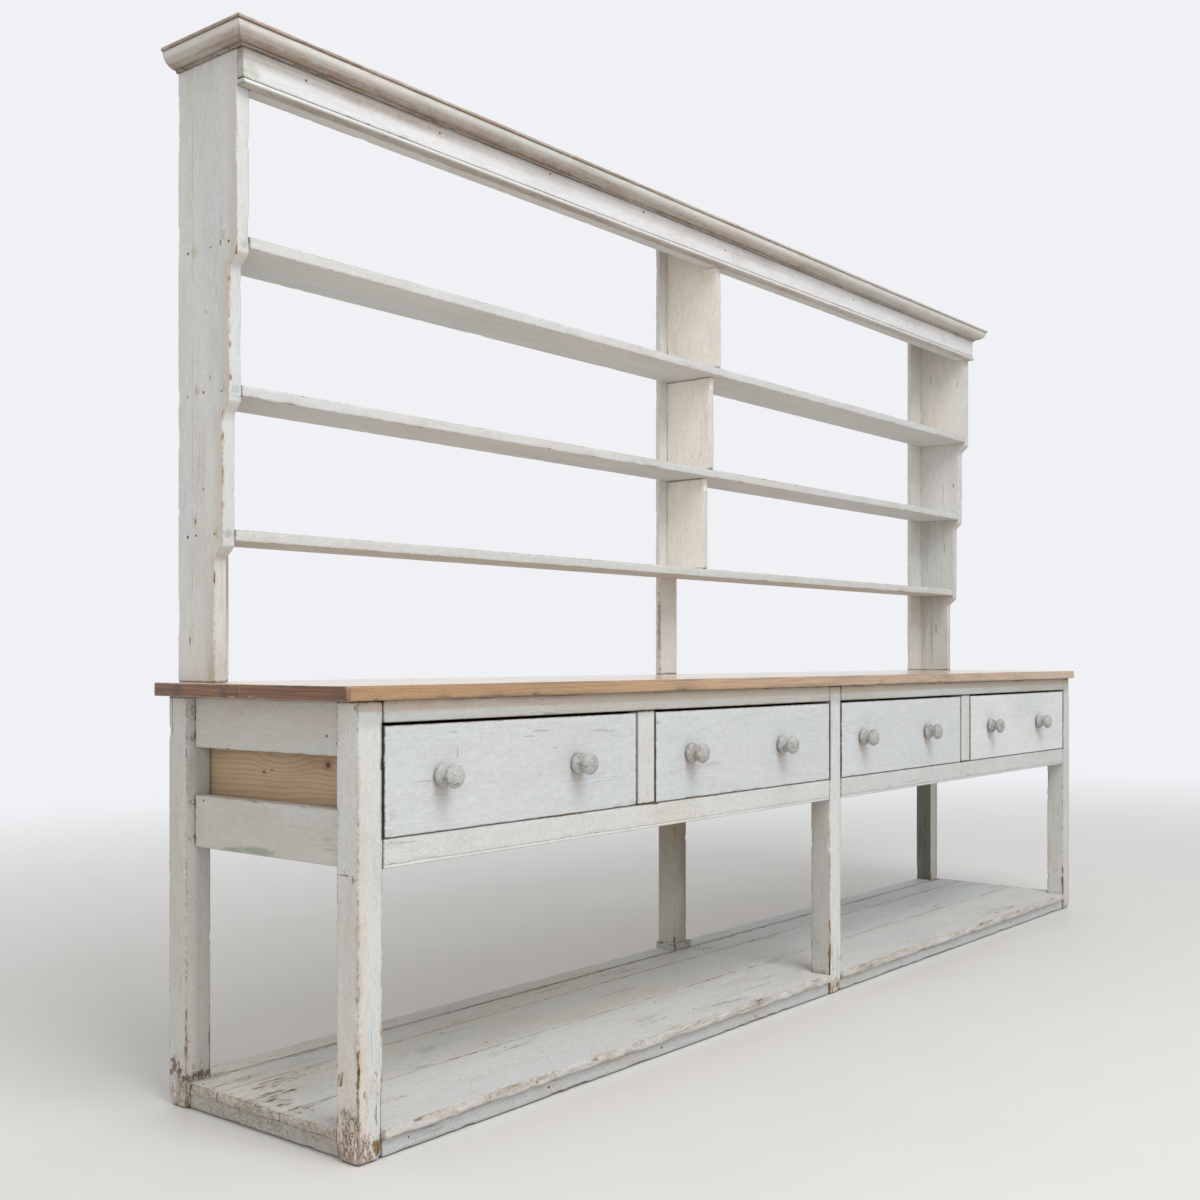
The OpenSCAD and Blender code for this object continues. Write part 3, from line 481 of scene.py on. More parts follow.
def band(value, low, high, soft):
    """1 where value lies between low and high, in millimetres, and 0 beyond a soft edge."""
    low, high, soft = low * MM, high * MM, soft * MM
    return fade(value, low - soft, low) * fade(value, high, high + soft, 1.0, 0.0)


def strongest(masks):
    """The strongest of some masks, each with its share."""
    return reduce(most, [mask * share for mask, share in masks])


def rack_soil(place, x, y, z, paint):
    """Rust round the nails of the ends, a handled strip and chips along their front edges, and a seam at the back."""
    front = fade(z, 1.13, 1.16, BAY_Y[3] * MM, BAY_Y[2] * MM)
    for shelf, near, far in ((1.42, BAY_Y[1], BAY_Y[2]), (1.72, BAY_Y[0], BAY_Y[1])):
        front += fade(z, shelf, shelf + 0.03, 0.0, (near - far) * MM)
    depth = y - front
    outer = fade(abs(x), 1.7105, 1.7115)
    handled = fade(depth, 0.0, 0.045, 1.0, 0.0) * outer
    mirrored = reckon("ABSOLUTE", place)
    rust = marks(mirrored, [(RACK_X, y, z, 30, 10, 14) for y, z in (
        (263, 1771), (165, 1790), (255, 1485), (161, 1478), (259, 1212), (190, 1185))], 4.0, 150.0)
    mould = marks(place, [
        (-1694, 119, 1766, 16, 8, 10), (-1696, 145, 1475, 16, 8, 12), (-1698, 167, 1184, 16, 8, 11),
        (-1660, 145, 1462, 60, 8, 5)], 3.0, 150.0)
    broken = fade(clouded(place, 9.0, 3.0), 0.46, 0.58)
    seam = band(y, 269.4, 270.6, 0.4) * (outer * broken)
    nicks = marks(mirrored, [(RACK_X, y, z, 30, 4, 7) for y, z in (
        (221, 1641), (209, 1504), (232, 1276), (165, 1797), (259, 1214), (290, 1195), (175, 1774), (257, 1226))]
        + [(RACK_X, 278, 968, 30, 3, 30), (RACK_X, 300, 1010, 30, 3, 22)], 3.5, 120.0)
    chipped = marks(place, [(-RACK_X, y, z, 8, 6, tall) for y, z, tall in (
        (122, 1745, 16), (140, 1722, 18), (146, 1690, 34), (146, 1648, 38), (145, 1600, 18), (145, 1566, 14),
        (145, 1502, 20), (167, 1425, 14), (167, 1372, 26), (167, 1305, 30), (167, 1240, 14), (194, 1092, 22))], 2.2)
    inside = marks(place, [
        (1684, 262, 2020, 20, 3, 26), (1684, 150, 1990, 20, 4, 16), (1684, 168, 1600, 20, 3, 14),
        (1684, 205, 1360, 20, 3, 34), (1684, 240, 1040, 20, 4, 30), (-43, 304, 1010, 5, 12, 130),
        (-40, 304, 900, 4, 12, 14)], 2.6)
    streaks = fade(clouded(place, (60.0, 60.0, 4.0), 4.0, 0.6), 0.50, 0.66)
    edge_face = fade(depth, 0.0016, 0.0008)
    far_end = band(x, 1610.0, 1685.5, 1.0) * fade(y, 0.310, 0.306)
    colour = tinted(far_end * fade(z, 1.75, 1.77), paint, srgb(238, 230, 222))
    far_end *= fade(z, 1.47, 1.45)
    colour = layered(colour, (far_end, srgb(206, 206, 201)), (far_end * streaks * 0.7, srgb(166, 176, 174)))
    stile = fade(y, 0.302, 0.3035) * fade(abs(x), 1.690, 1.685)
    colour = layered(colour, (stile, srgb(226, 225, 221)), (edge_face, srgb(208, 208, 206)),
                     (rust * 0.7, srgb(186, 182, 150)), (mould * 0.65, srgb(148, 158, 154)))
    soil = strongest([(handled, 0.50), (rust, 0.2), (seam, 0.5), (chipped, 0.7)])
    return {"Soil": soil, "Lines": strongest([(seam, 0.25), (inside, 0.5)]), "Paint": colour,
            "Bare": strongest([(nicks, 1.0), (chipped, 0.8), (inside, 0.6)])}


def moulding_soil_and_shade(place, x, y, z, paint):
    """Dirt on the cornice's top fillet, dirt and painted shade under its ovolo, painted shade below the bead, dark
    joints and painted shadow lines in its quirks, a darker top to the frieze, and the frieze painted brighter against
    the cornice's shadow.
    """
    out = most(Y_FRIEZE * MM - y, abs(x) - RACK_X * MM)
    settled = clouded(place, 6.0, 4.0, 0.6)
    streaked = clouded(place, (3.0, 3.0, 220.0), 4.0, 0.6)
    board = fade(out, 0.002, 0.001)
    # Dirt and painted shade: the ovolo darkens towards its foot, where it turns under
    ovolo = fade(z, 2.160, 2.184, 1.0, 0.0) * fade(z, 2.150, 2.153)
    fillet = band(z, 2187.6, 2194.6, 0.8)
    head = band(z, 2138.0, 2154.0, 20.0) * board * fade(x, -1.3, -0.8, 2.0, 1.0)
    # Dark lines at the joints, and painted shadow lines under the top fillet and in the quirks
    line = strongest((band(z, *heights), share) for *heights, share in (
        (2152.8, 2154.2, 0.6, 0.62), (2092.0, 2094.2, 0.8, 0.85), (2188.4, 2189.2, 0.6, 0.45),
        (2158.4, 2159.4, 0.5, 0.45), (2156.2, 2156.8, 0.4, 0.35), (2083.2, 2084.0, 0.6, 0.4)))
    # Painted shade on the underside below the bead
    under = band(z, 2070.0, 2081.5, 2.0)
    soil = strongest([(ovolo * fade(out, 0.002, 0.003), 1.0), (fillet, 0.95), (head, 0.30), (under, 0.8)])
    soil *= fade(streaked, 0.35, 0.62, 0.75, 1.1) * fade(x, -1.2, 1.4, 1.0, 0.5)
    line *= fade(settled, 0.30, 0.55, 0.5, 1.0) * fade(x, -1.4, 0.4, 1.0, 0.7)
    # Painted light: the frieze board is painted brighter to lift the cornice's shadow on it
    colour = tinted(board * fade(z, 2.090, 2.094), paint, srgb(226, 226, 227))
    old = marks(place, [(-1690, 101, 2112, 34, 14, 16), (-1704, 101, 2096, 14, 14, 10)], 2.6)
    colour = tinted(old * 0.7, colour, srgb(186, 192, 168))
    return {"Soil": soil, "Lines": line, "Paint": colour}


def base_soil_and_shade(place, x, y, z, paint):
    """Handled and knocked places of the legs and rails, crackled feet, dirt and painted shade under the worktop,
    painted shadow beside the drawer openings, and painted shade and light on the front middle leg.
    """
    stained = marks(place, [
        (-1734, 302, 88, 24, 11, 20), (-1734, 284, 74, 24, 12, 12), (-1704, 260, 66, 30, 14, 9),
        (-1684, 260, 64, 20, 14, 8), (-1734, 266, 64, 24, 10, 10), (-1734, 312, 70, 24, 8, 9)], 3.5, 120.0)
    at_joints = marks(place, [
        (-1714, 257, 816, 20, 4, 30), (-1714, 257, 768, 20, 4, 18), (-1714, 257, 632, 20, 4, 14),
        (-1714, 257, 560, 20, 4, 12), (-1714, 150, 746, 20, 12, 3), (-1714, -204, 840, 20, 6, 10),
        (-1734, -262, 838, 16, 4, 9), (-1734, -232, 531, 14, 24, 2.2), (-1734, -256, 524, 14, 4, 9)], 3.2, 130.0)
    knocked = marks(place, [
        (-1734, -220, 155, 14, 13, 20), (-1690, -270, 26, 16, 14, 26), (-833, -270, 592, 50, 14, 2.5),
        (-590, -270, 593, 70, 14, 2), (-1150, -270, 593, 60, 14, 2)], 3.0)
    stripe = marks(place, [
        (-1731, -267, 205, 12, 12, 90), (-1732, -268, 330, 9, 9, 60), (-1732, -268, 440, 7, 7, 60),
        (-30, -270, 150, 8, 8, 100), (-30, -270, 380, 7, 7, 70), (-1732, -268, 700, 7, 7, 60),
        (1674, -270, 120, 8, 8, 90), (-1734, 262, 170, 6, 7, 40), (-1675, -270, 235, 9, 8, 34),
        (-1675, -270, 140, 6, 8, 26)], 2.2)
    warm = marks(place, [
        (-30, -232, 480, 14, 40, 70), (-1714, 150, 790, 14, 70, 34), (-1714, 60, 600, 14, 110, 36),
        (-1714, -110, 800, 14, 80, 40), (-1734, 290, 430, 14, 34, 190), (-1734, -240, 380, 14, 34, 170),
        (-1730, -266, 330, 16, 14, 230), (-1734, -240, 70, 20, 44, 60)], 3.0)
    green = marks(place, [(-1714, 52, 549, 14, 72, 9), (-1714, 122, 545, 14, 44, 6)], 1.6)
    feet = marks(place, [
        (-1734, -246, 48, 20, 44, 74), (-1716, -270, 26, 24, 14, 44), (-1734, 292, 40, 20, 44, 50),
        (-1706, 260, 40, 34, 14, 44), (-30, -244, 30, 20, 34, 40), (0, -270, 20, 34, 14, 30)], 1.6)
    front = fade(y, -0.262, -0.268)
    end_face = fade(abs(x), 1.706, 1.713)
    # Painted shade: the fronts just below the worktop are painted darker, as the overhang's shade
    shaded = fade(z, 0.790, 0.816) * front
    # Dirt and painted shade in a band right under the worktop, deeper on the front
    under_top_dirt_and_shade = most(fade(z, 0.843, 0.8515), fade(z, 0.827, 0.835) * front)
    strip = band(y, 306.5, 308.0, 0.8) * fade(z, 0.770, 0.774)
    # Painted shadow: dark lines along the front arrises beside the drawer openings
    gap = band(z, *Z_OPENING, 3.0) * front * fade(abs(x), 1.712, 1.700) * read(place.tree, "edge", "Fac")
    leg_end = fade(y, -0.205, -0.212)
    colour = tinted(end_face, paint, tinted(leg_end, srgb(202, 198, 192), srgb(214, 206, 198)))
    # Painted shade on the front middle leg's left face, and painted light on its front face, which is set brighter
    # against the worktop's shade
    middle = band(x, -31.0, -29.7, 0.3) * fade(y, 0.0, -0.05)
    colour = layered(colour, (middle, srgb(194, 192, 186)), (band(x, -28.0, 31.0, 1.0) * front, srgb(221, 220, 216)))
    back_middle = band(x, -40.0, 40.0, 5.0) * fade(y, 0.20, 0.25)
    pale_foot = back_middle * fade(z, 0.50, 0.15, 0.0, 0.75)
    colour = layered(colour, (pale_foot, srgb(200, 200, 192)), (shaded, srgb(178, 176, 169)),
                     (green * 0.8, srgb(140, 158, 142)))
    return {"Soil": strongest([(warm, 0.21), (stained, 0.9), (under_top_dirt_and_shade, 0.85), (knocked, 0.55), (stripe, 0.6)]),
            "Lines": strongest([(stained, 0.72), (at_joints, 0.6), (gap, 0.75), (under_top_dirt_and_shade, 0.22), (strip, 0.6)]),
            "Bare": strongest([(knocked, 1.0), (stripe, 0.36)]), "Paint": colour,
            "Crackle": strongest([(feet, 0.9), (fade(z, 0.045, 0.0), 0.45)])}


def drawer_soil_and_gap_shadow(place, x, y, z, paint):
    """Smudges where hands and knobs have rubbed, with dirt along the edges and painted shadow on the sides in the
    gaps.
    """
    smudge = marks(place, [(x, Y_FRONT, Z_KNOB - 26, 26, 30, 24) for pair in KNOB_X for x in pair], 0.8)
    corner = marks(place, [
        (-1664, -270, 604, 26, 20, 10), (-1650, -270, 640, 12, 20, 16), (-918, -270, 606, 22, 20, 8),
        (-1632, -270, 792, 14, 20, 5)], 1.8)
    bare = marks(place, [
        (-1040, -270, 771, 46, 20, 2.2), (-1000, -270, 768, 30, 20, 1.6), (-1230, -270, 778, 34, 20, 1.8),
        (-1270, -270, 768, 26, 20, 1.5), (-1566, -270, 695, 40, 20, 1.3), (-1478, -270, 746, 2, 20, 14),
        (-1490, -270, 786, 16, 20, 1.6), (-820, -270, 780, 9, 20, 5)], 1.4)
    broken = fade(clouded(place, 40.0, 4.0, 0.6), 0.42, 0.58, 0.15, 0.7)
    rim = read(place.tree, "edge", "Fac") ** 2.0 * broken
    # Painted shadow: the front's sides, in the gaps round the drawer, are drawn dark
    rim = most(rim, fade(y, -0.2685, -0.2670, 0.0, 0.75))
    return {"Paint": tinted(fade(x, 0.80, 0.85), paint, srgb(221, 224, 224)),
            "Soil": strongest([(smudge, 0.6), (corner, 0.4)]),
            "Lines": strongest([(bare, 0.38), (rim, 1.0)]), "Bare": corner * 0.3}


def potboard_soil(place, x, y, z, paint):
    """Dirt in the seams, flaking at the left end and along the nosing, and the whiter front board."""
    worn = clouded(place, (2.5, 30.0, 30.0), 4.0, 0.6)
    seam = strongest((band(y, line - 0.9, line + 0.9, 1.2), 0.85) for line in POT_SEAMS)
    seam *= fade(worn, 0.36, 0.54, 0.45, 1.0)
    near_seam = strongest((band(y, line - 3.0, line + 3.0, 10.0), 0.16) for line in POT_SEAMS)
    soil = near_seam * fade(worn, 0.42, 0.60)
    flaked = marks(place, [
        (-1600, 120, 56, 90, 34, 20), (-1660, 262, 56, 60, 16, 20), (-1655, 60, 56, 60, 26, 20),
        (-1640, 190, 56, 60, 20, 20), (-1560, -150, 56, 60, 18, 20), (-1690, -60, 56, 40, 30, 20),
        (-1180, 300, 56, 70, 14, 20), (40, 206, 56, 40, 26, 20), (-350, 216, 56, 130, 3, 20),
        (-1690, 10, 56, 30, 40, 20)], 2.8)
    nosing = marks(place, [(x, -276, 52, reach, 8, 8) for x, reach in (
        (-1345, 80), (-1228, 60), (-1060, 20), (-900, 34), (-640, 26), (-410, 44), (-250, 22), (-110, 50), (140, 30),
        (420, 44), (760, 22), (980, 70), (1240, 26), (1560, 40))], 3.2, 90.0)
    cracks = marks(place, [
        (-353, 196, 56, 60, 4, 20), (-430, 206, 56, 50, 2, 20), (198, 238, 56, 90, 4, 20),
        (-280, -190, 56, 90, 2, 20), (-170, -150, 56, 60, 3, 20), (-640, 214, 56, 110, 3, 20),
        (-1100, 120, 56, 80, 2, 20), (-560, 60, 56, 120, 2, 20)], 3.4, 120.0)
    scuffed = marks(place, [
        (-700, 240, 56, 190, 26, 20), (-1000, 284, 56, 120, 20, 20), (-250, -120, 56, 120, 30, 20),
        (120, 280, 56, 90, 20, 20)], 2.6)
    dotted = fade(clouded(place, (16.0, 70.0, 70.0), 4.0, 0.65), 0.42, 0.58, 0.2, 1.0)
    arris = band(y, -277.0, -269.5, 1.5) * dotted
    left = fade(x, -1.722, -1.733)
    back = fade(y, -0.06, -0.02)
    far = tinted(fade(x, -0.5, 0.6), srgb(199, 198, 188), srgb(211, 223, 226))
    far = tinted(fade(x, -1.6, -1.0, 1.0, 0.0), far, srgb(226, 223, 214))
    colour = layered(paint, (back * 0.7, far), (left * 0.8, srgb(220, 213, 202)))
    soil = strongest([(soil, 1.0), (flaked, 0.30), (nosing, 0.65), (left, 0.2), (scuffed, 0.3), (arris, 0.6)])
    dashes = fade(clouded(place, (55.0, 210.0, 210.0), 3.0, 0.6), 0.55, 0.61)
    here = fade(clouded(place, (2.2, 9.0, 9.0), 3.0, 0.5, (3.3, 0.8, 0.0)), 0.50, 0.62)
    flaked_or_here = strongest([(flaked, 0.75), (here, 0.14)])
    return {"Lines": strongest([(seam, 1.0), (cracks, 0.65), (flaked_or_here * dashes, 1.0)]),
            "Soil": soil, "Paint": colour, "Bare": strongest([(flaked, 0.35), (nosing, 0.5), (scuffed, 0.2)]),
            "Crackle": strongest([(left, 0.5), (nosing, 0.4), (arris, 0.2)])}


def plinth_soil(place, x, y, z, paint):
    """The dirtier, rougher rail at the left end."""
    left = fade(x, -1.66, -1.70)
    return {"Paint": tinted(left, paint, srgb(176, 171, 164)), "Crackle": left * 0.35}


def knob_soil(place, x, y, z, paint):
    """Darker round the knobs' feet, where they meet the drawer, and fine cracks over them."""
    foot = fade(y, Y_FRONT * MM - 0.007, Y_FRONT * MM - 0.002)
    cracks = clouded(place, 60.0, 4.0, 0.65)
    cracks = fade(abs(cracks - 0.5), 0.008, 0.03, 1.0, 0.0)
    gate = fade(clouded(place, 30.0, 2.0, 0.5, (4.1, 0.3, 7.7)), 0.44, 0.56)
    return {"Lines": strongest([(foot, 0.85), (cracks * gate, 0.65)]), "Soil": gate * 0.1}


def paint_finish(name, coat, older, soil_and_shade, amounts, others):
    """A material of old paint on pine, for the worn boards."""
    colours = bpy.context.scene.dresser.paint
    _, shader, place = new_finish(name)
    tree = place.tree
    x, y, z = xyz(place)
    feeds = {"Grain": read(tree, "grain"), "Edge": read(tree, "edge", "Fac"), "Nick": read(tree, "nick", "Fac"),
             "Ends": read(tree, "ends"), "Low": fade(z, 0.0, 0.36, 1.0, 0.0),
             "Paint": coat, "Older coat": older, "Grime": colours.grime, "Ground": colours.ground}
    if soil_and_shade:
        feeds.update(soil_and_shade(place, x, y, z, coat))
    feeds.update(zip(AMOUNTS, amounts))
    feeds.update(others)
    made = group_node(tree, "old paint", feeds)
    depth = KNOB_PAINT_DEPTH if soil_and_shade is knob_soil else PAINT_DEPTH
    feed(shader, {"Base Color": made["Color"], "Roughness": made["Roughness"], "Specular IOR Level": 0.35,
                  "Normal": bumped(made["Height"], depth)})


def pine_finish(name, along, rings=190.0, contrast=0.7):
    """A material of bare pine; without a direction it reads the boards' own grain."""
    pine = bpy.context.scene.dresser.pine
    _, shader, place = new_finish(name)
    grain = along(*xyz(place)) if along else read(place.tree, "grain")
    made = group_node(place.tree, "pine grain", {
        "Vector": grain, "Light": pine.raw_light, "Dark": pine.raw_dark, "Knot": pine.knot,
        "Rings": rings, "Knots": 1.0, "Contrast": contrast})
    grime = clouded(grain, (5.0, 18.0, 18.0), 4.0, 0.6)
    colour = tinted(fade(grime, 0.5, 0.8, 0.0, 0.35), made["Color"], (0.16, 0.11, 0.07))
    if along is carcass_run:
        halo = marks(place, [(*knot[:3], *(2.2 * v for v in knot[3:])) for knot in KNOTS_BEHIND_SLOT], 0.5)
        colour = tinted(halo * 0.35, colour, (0.16, 0.08, 0.03))
        colour = tinted(marks(place, KNOTS_BEHIND_SLOT, 0.5) * 0.85, colour, (0.05, 0.025, 0.012))
    feed(shader, {"Base Color": colour, "Roughness": fade(grime, 0.3, 0.7, 0.62, 0.8), "Specular IOR Level": 0.3,
                  "Normal": bumped(made["Height"], 0.0006)})


def along_y(x, y, z):
    """Grain of a board that runs along Y."""
    return vector_of(y, z, x)


def carcass_run(x, y, z):
    """Along Y on a drawer's sides and along X on its back."""
    back = fade(y, 0.2765, 0.2770)
    return wired("ShaderNodeMix", {0: back, 4: along_y(x, y, z), 5: vector_of(x, y, z)}, 1, data_type="VECTOR")


def worktop_finish(name, light, dark, rings, knots, contrast, stain, streak, streak_share, coat, end=False):
    """Waxed pine of the worktop, darker on its end faces."""
    _, shader, place = new_finish(name)
    tree = place.tree
    x, y, z = xyz(place)
    knot = bpy.context.scene.dresser.pine.knot
    grain = along_y(x, y, z) if end else read(tree, "grain")
    made = group_node(tree, "pine grain", {"Vector": grain, "Light": light, "Dark": dark, "Knot": knot,
                                           "Rings": rings, "Knots": knots, "Contrast": contrast})
    patina = clouded(grain, (3.0, 15.0, 15.0), 5.0, 0.65)
    streaks = clouded(grain, (5.0, 230.0, 230.0), 3.0, 0.6)
    specks = clouded(grain, (150.0, 420.0, 420.0), 2.0, 0.6)
    colour = tinted(fade(patina, 0.50, 0.78, 0.0, 0.5), made["Color"], stain)
    colour = tinted(fade(streaks, 0.46, 0.66, 0.0, streak_share), colour, streak)
    if end:
        knots = marks(place, [(-1770, 85, 860, 20, 16, 12), (-1770, 236, 866, 20, 22, 16)], 2.4)
        colour = tinted(knots * 0.6, colour, srgb(62, 32, 20))
    golden = fade(x, -1.5, -0.4, 0.7, 0.4) * fade(y, -0.270, -0.278)
    rubbed = read(tree, "edge", "Fac") * fade(patina, 0.42, 0.62, 0.05, 0.55)
    rubbed = clamped(rubbed + read(tree, "nick", "Fac") * 0.5)
    corner = fade(abs(x), 1.756, 1.762) * fade(y, -0.246, -0.238, 1.0, 0.0)
    colour = layered(colour, (golden, srgb(152, 112, 58)), (fade(specks, 0.60, 0.72, 0.0, 0.5), srgb(84, 56, 38)),
                     (rubbed, srgb(92, 64, 50)), (corner * 0.6, srgb(92, 58, 50)))
    feed(shader, {"Base Color": colour, "Roughness": fade(patina, 0.3, 0.7, 0.22, 0.34), "Coat Weight": coat,
                  "Coat Roughness": 0.18, "Normal": bumped(made["Height"] + patina * 1.2, 0.0004)})


def iron_finish(name):
    """Rusted nail iron."""
    _, shader, place = new_finish(name)
    rust = clouded(place, 900.0, 3.0)
    feed(shader, {"Base Color": tinted(fade(rust, 0.4, 0.6), srgb(52, 40, 34), srgb(120, 82, 52)),
                  "Roughness": fade(rust, 0.3, 0.7, 0.55, 0.85), "Normal": bumped(rust, 0.0003)})


def make_finishes():
    """Build the groups and every material, by name."""
    pine_grain_group()
    old_paint_group()
    look = bpy.context.scene.dresser
    paint, pine = look.paint, look.pine
    for row in (
            ("rack paint", paint.rack, paint.cool, rack_soil, (0.45, 0.36, 0.9, 0.08, 0.22, 0.3),
             {"Ground": srgb(138, 106, 86)}),
            ("inner rack paint brightened against shade", paint.inner, paint.rack, rack_soil, (0.3, 0.22, 0.7, 0.06, 0.35, 0.3), {}),
            # The moulding's darker grime colour also paints the shade under its ovolo and bead
            ("moulding paint", paint.rack, paint.cool, moulding_soil_and_shade, (0.35, 0.36, 0.9, 0.08, 0.15, 0.3),
             {"Joint dirt": 0.3, "Grime": srgb(160, 142, 126)}),
            ("base paint", paint.base, paint.cool, base_soil_and_shade, (0.5, 0.38, 0.9, 0.1, 0.4, 0.4), {"Joint dirt": 0.85}),
            # A darker brown paint, on the back middle leg
            ("dark brown paint", srgb(157, 146, 128), srgb(128, 123, 107), base_soil_and_shade, (0.7, 0.45, 0.8, 0.12, 0.4, 0.5), {}),
            # Greyed paint, also used as painted shade on the back left leg's front
            ("greyed paint and shade", srgb(184, 182, 178), srgb(168, 172, 172), base_soil_and_shade,
             (0.6, 0.35, 0.8, 0.12, 0.4, 0.5), {}),
            ("drawer paint", paint.drawer, paint.cool, drawer_soil_and_gap_shadow, (0.65, 0.16, 0.45, 0.0, 0.25, 0.3),
             {"Joint dirt": 0.85, "Ground": srgb(104, 86, 68)}),
            ("potboard paint", paint.potboard, paint.cool, potboard_soil, (0.45, 0.34, 0.42, 0.16, 0.5, 0.9),
             {"Joint dirt": 0.15, "End wear": 0.8, "Flakes": (15.0, 120.0, 120.0),
              "Ground": srgb(128, 108, 84), "Low": 0.0}),
            ("plinth paint", paint.plinth, paint.cool, plinth_soil, (0.5, 0.4, 0.9, 0.2, 1.0, 0.8), {"Low": 0.25}),
            ("green paint", paint.green, srgb(70, 80, 70), None, (0.8, 0.3, 0.9, 0.3, 0.5, 0.8), {}),
            ("knob paint", paint.knob, paint.cool, knob_soil, (0.3, 0.25, 1.0, 0.3, 1.0, 1.0),
             {"Flakes": (200.0, 300.0, 300.0), "Ground": srgb(112, 98, 82)})):
        paint_finish(*row)
    pine_finish("board pine", None)
    pine_finish("pine along x", vector_of)
    pine_finish("pine along y", along_y)
    pine_finish("drawer pine", carcass_run, 260.0, 0.55)
    worktop_finish("waxed pine", pine.wax_light, pine.wax_dark, 210.0, 0.4, 0.55,
                   srgb(124, 88, 62), srgb(122, 86, 60), 0.6, 1.0)
    worktop_finish("waxed pine end", srgb(136, 87, 47), srgb(76, 42, 20), 300.0, 0.0, 1.1,
                   srgb(112, 68, 42), srgb(78, 42, 22), 0.8, 0.3, end=True)
    iron_finish("nail iron")


def finish_named(name):
    """A material by name, with the whole set made the first time."""
    if name not in bpy.data.materials:
        make_finishes()
    return bpy.data.materials[name]


# ---------------------------------------------------------------- worn boards


def add_object(name, data):
    """Link a new object to the scene."""
    made = bpy.data.objects.new(name, data)
    bpy.context.scene.collection.objects.link(made)
    return made


def write_fields(mesh, **fields):
    """Give a mesh's points their named values or vectors."""
    for label, data in fields.items():
        data = np.asarray(data, np.float32)
        kind, member = ("FLOAT", "value") if data.ndim == 1 else ("FLOAT_VECTOR", "vector")
        mesh.attributes.new(label, kind, "POINT").data.foreach_set(member, data.ravel())


def lattice(cells, seed):
    """Repeatable values from 0 to 1, one for each whole-number cell."""
    mixed = cells[:, 0] * 73856093 ^ cells[:, 1] * 19349663 ^ cells[:, 2] * 83492791 ^ seed * 97531
    mixed = ((mixed ^ (mixed >> 13)) * 1274126177) & 0x7FFFFFFF
    mixed ^= mixed >> 16
    return (mixed & 0xFFFF) / 65535.0


def clouds(points, seed):
    """Smooth noise from 0 to 1 at each point."""
    cells = np.floor(points).astype(np.int64)
    part = points - cells
    part = part * part * (3 - 2 * part)
    total = np.zeros(len(points))
    for corner in range(8):
        turn = np.array([corner & 1, corner >> 1 & 1, corner >> 2])
        weight = np.prod(np.where(turn, part, 1 - part), axis=1)
        total += weight * lattice(cells + turn, seed)
    return total


def edge_wear(points, seed, share):
    """Rubbing and chips of an edge at each point, both from 0 to 1."""
    p = points * MM
    slow, mid, fine = clouds(p * 7, seed), clouds(p * 34, seed + 1), clouds(p * 110, seed + 2)
    hit = 0.30 * slow + 0.50 * mid + 0.20 * fine
    return 0.2 + 1.2 * slow * mid, np.clip((hit - (1 - share)) / 0.10, 0, 1) * (0.5 + 0.5 * fine)


def trace(outline, corner, step, near):
    """Walk round a flat outline and return its loop points, ready to be drawn inwards."""
    pts = np.array(outline, float)
    nxt = np.roll(pts, -1, axis=0)
    if np.sum(pts[:, 0] * nxt[:, 1] - nxt[:, 0] * pts[:, 1]) < 0:
        pts = pts[::-1]
    way = np.roll(pts, -1, axis=0) - pts
    length = np.linalg.norm(way, axis=1)
    way /= length[:, None]
    out = np.stack([way[:, 1], -way[:, 0]], axis=1)
    base, mitre, centre, fan, radius, tie = [], [], [], [], [], []

    def add(p, m, c=None, a=None, r=0.0, group=None):
        base.append(p)
        mitre.append(m)
        centre.append(p if c is None else c)
        fan.append(m / np.linalg.norm(m) if a is None else a)
        radius.append(r)
        tie.append(len(tie) if group is None else group)

    sharp = []
    for i in range(len(pts)):
        turn = way[i - 1][0] * way[i][1] - way[i - 1][1] * way[i][0]
        sharp.append(turn if abs(turn) > math.sin(SHARP_TURN) else 0.0)
    for i in range(len(pts)):
        before, after = out[i - 1], out[i]
        m = (before + after) / max(1 + before @ after, 0.25)
        if sharp[i] > 0:
            first = len(tie)
            start, end = math.atan2(before[1], before[0]), math.atan2(after[1], after[0])
            end += 2 * math.pi if end < start else 0
            for k in range(4):
                angle = start + (end - start) * k / 3
                add(pts[i], m, pts[i] - m * corner, np.array([math.cos(angle), math.sin(angle)]), corner, first)
        else:
            add(pts[i], m)
        gap = length[i]
        head = near + 1 if sharp[i] else step
        tail = near + 1 if sharp[(i + 1) % len(pts)] else step
        if gap > 2 * near + 3 and gap > head + tail:
            inner = max(1, int(round((gap - head - tail) / step)))
            for k in range(inner + 1):
                add(pts[i] + way[i] * (head + (gap - head - tail) * k / inner), out[i])
    return tuple(np.array(v) for v in (base, mitre, centre, fan, radius, tie))


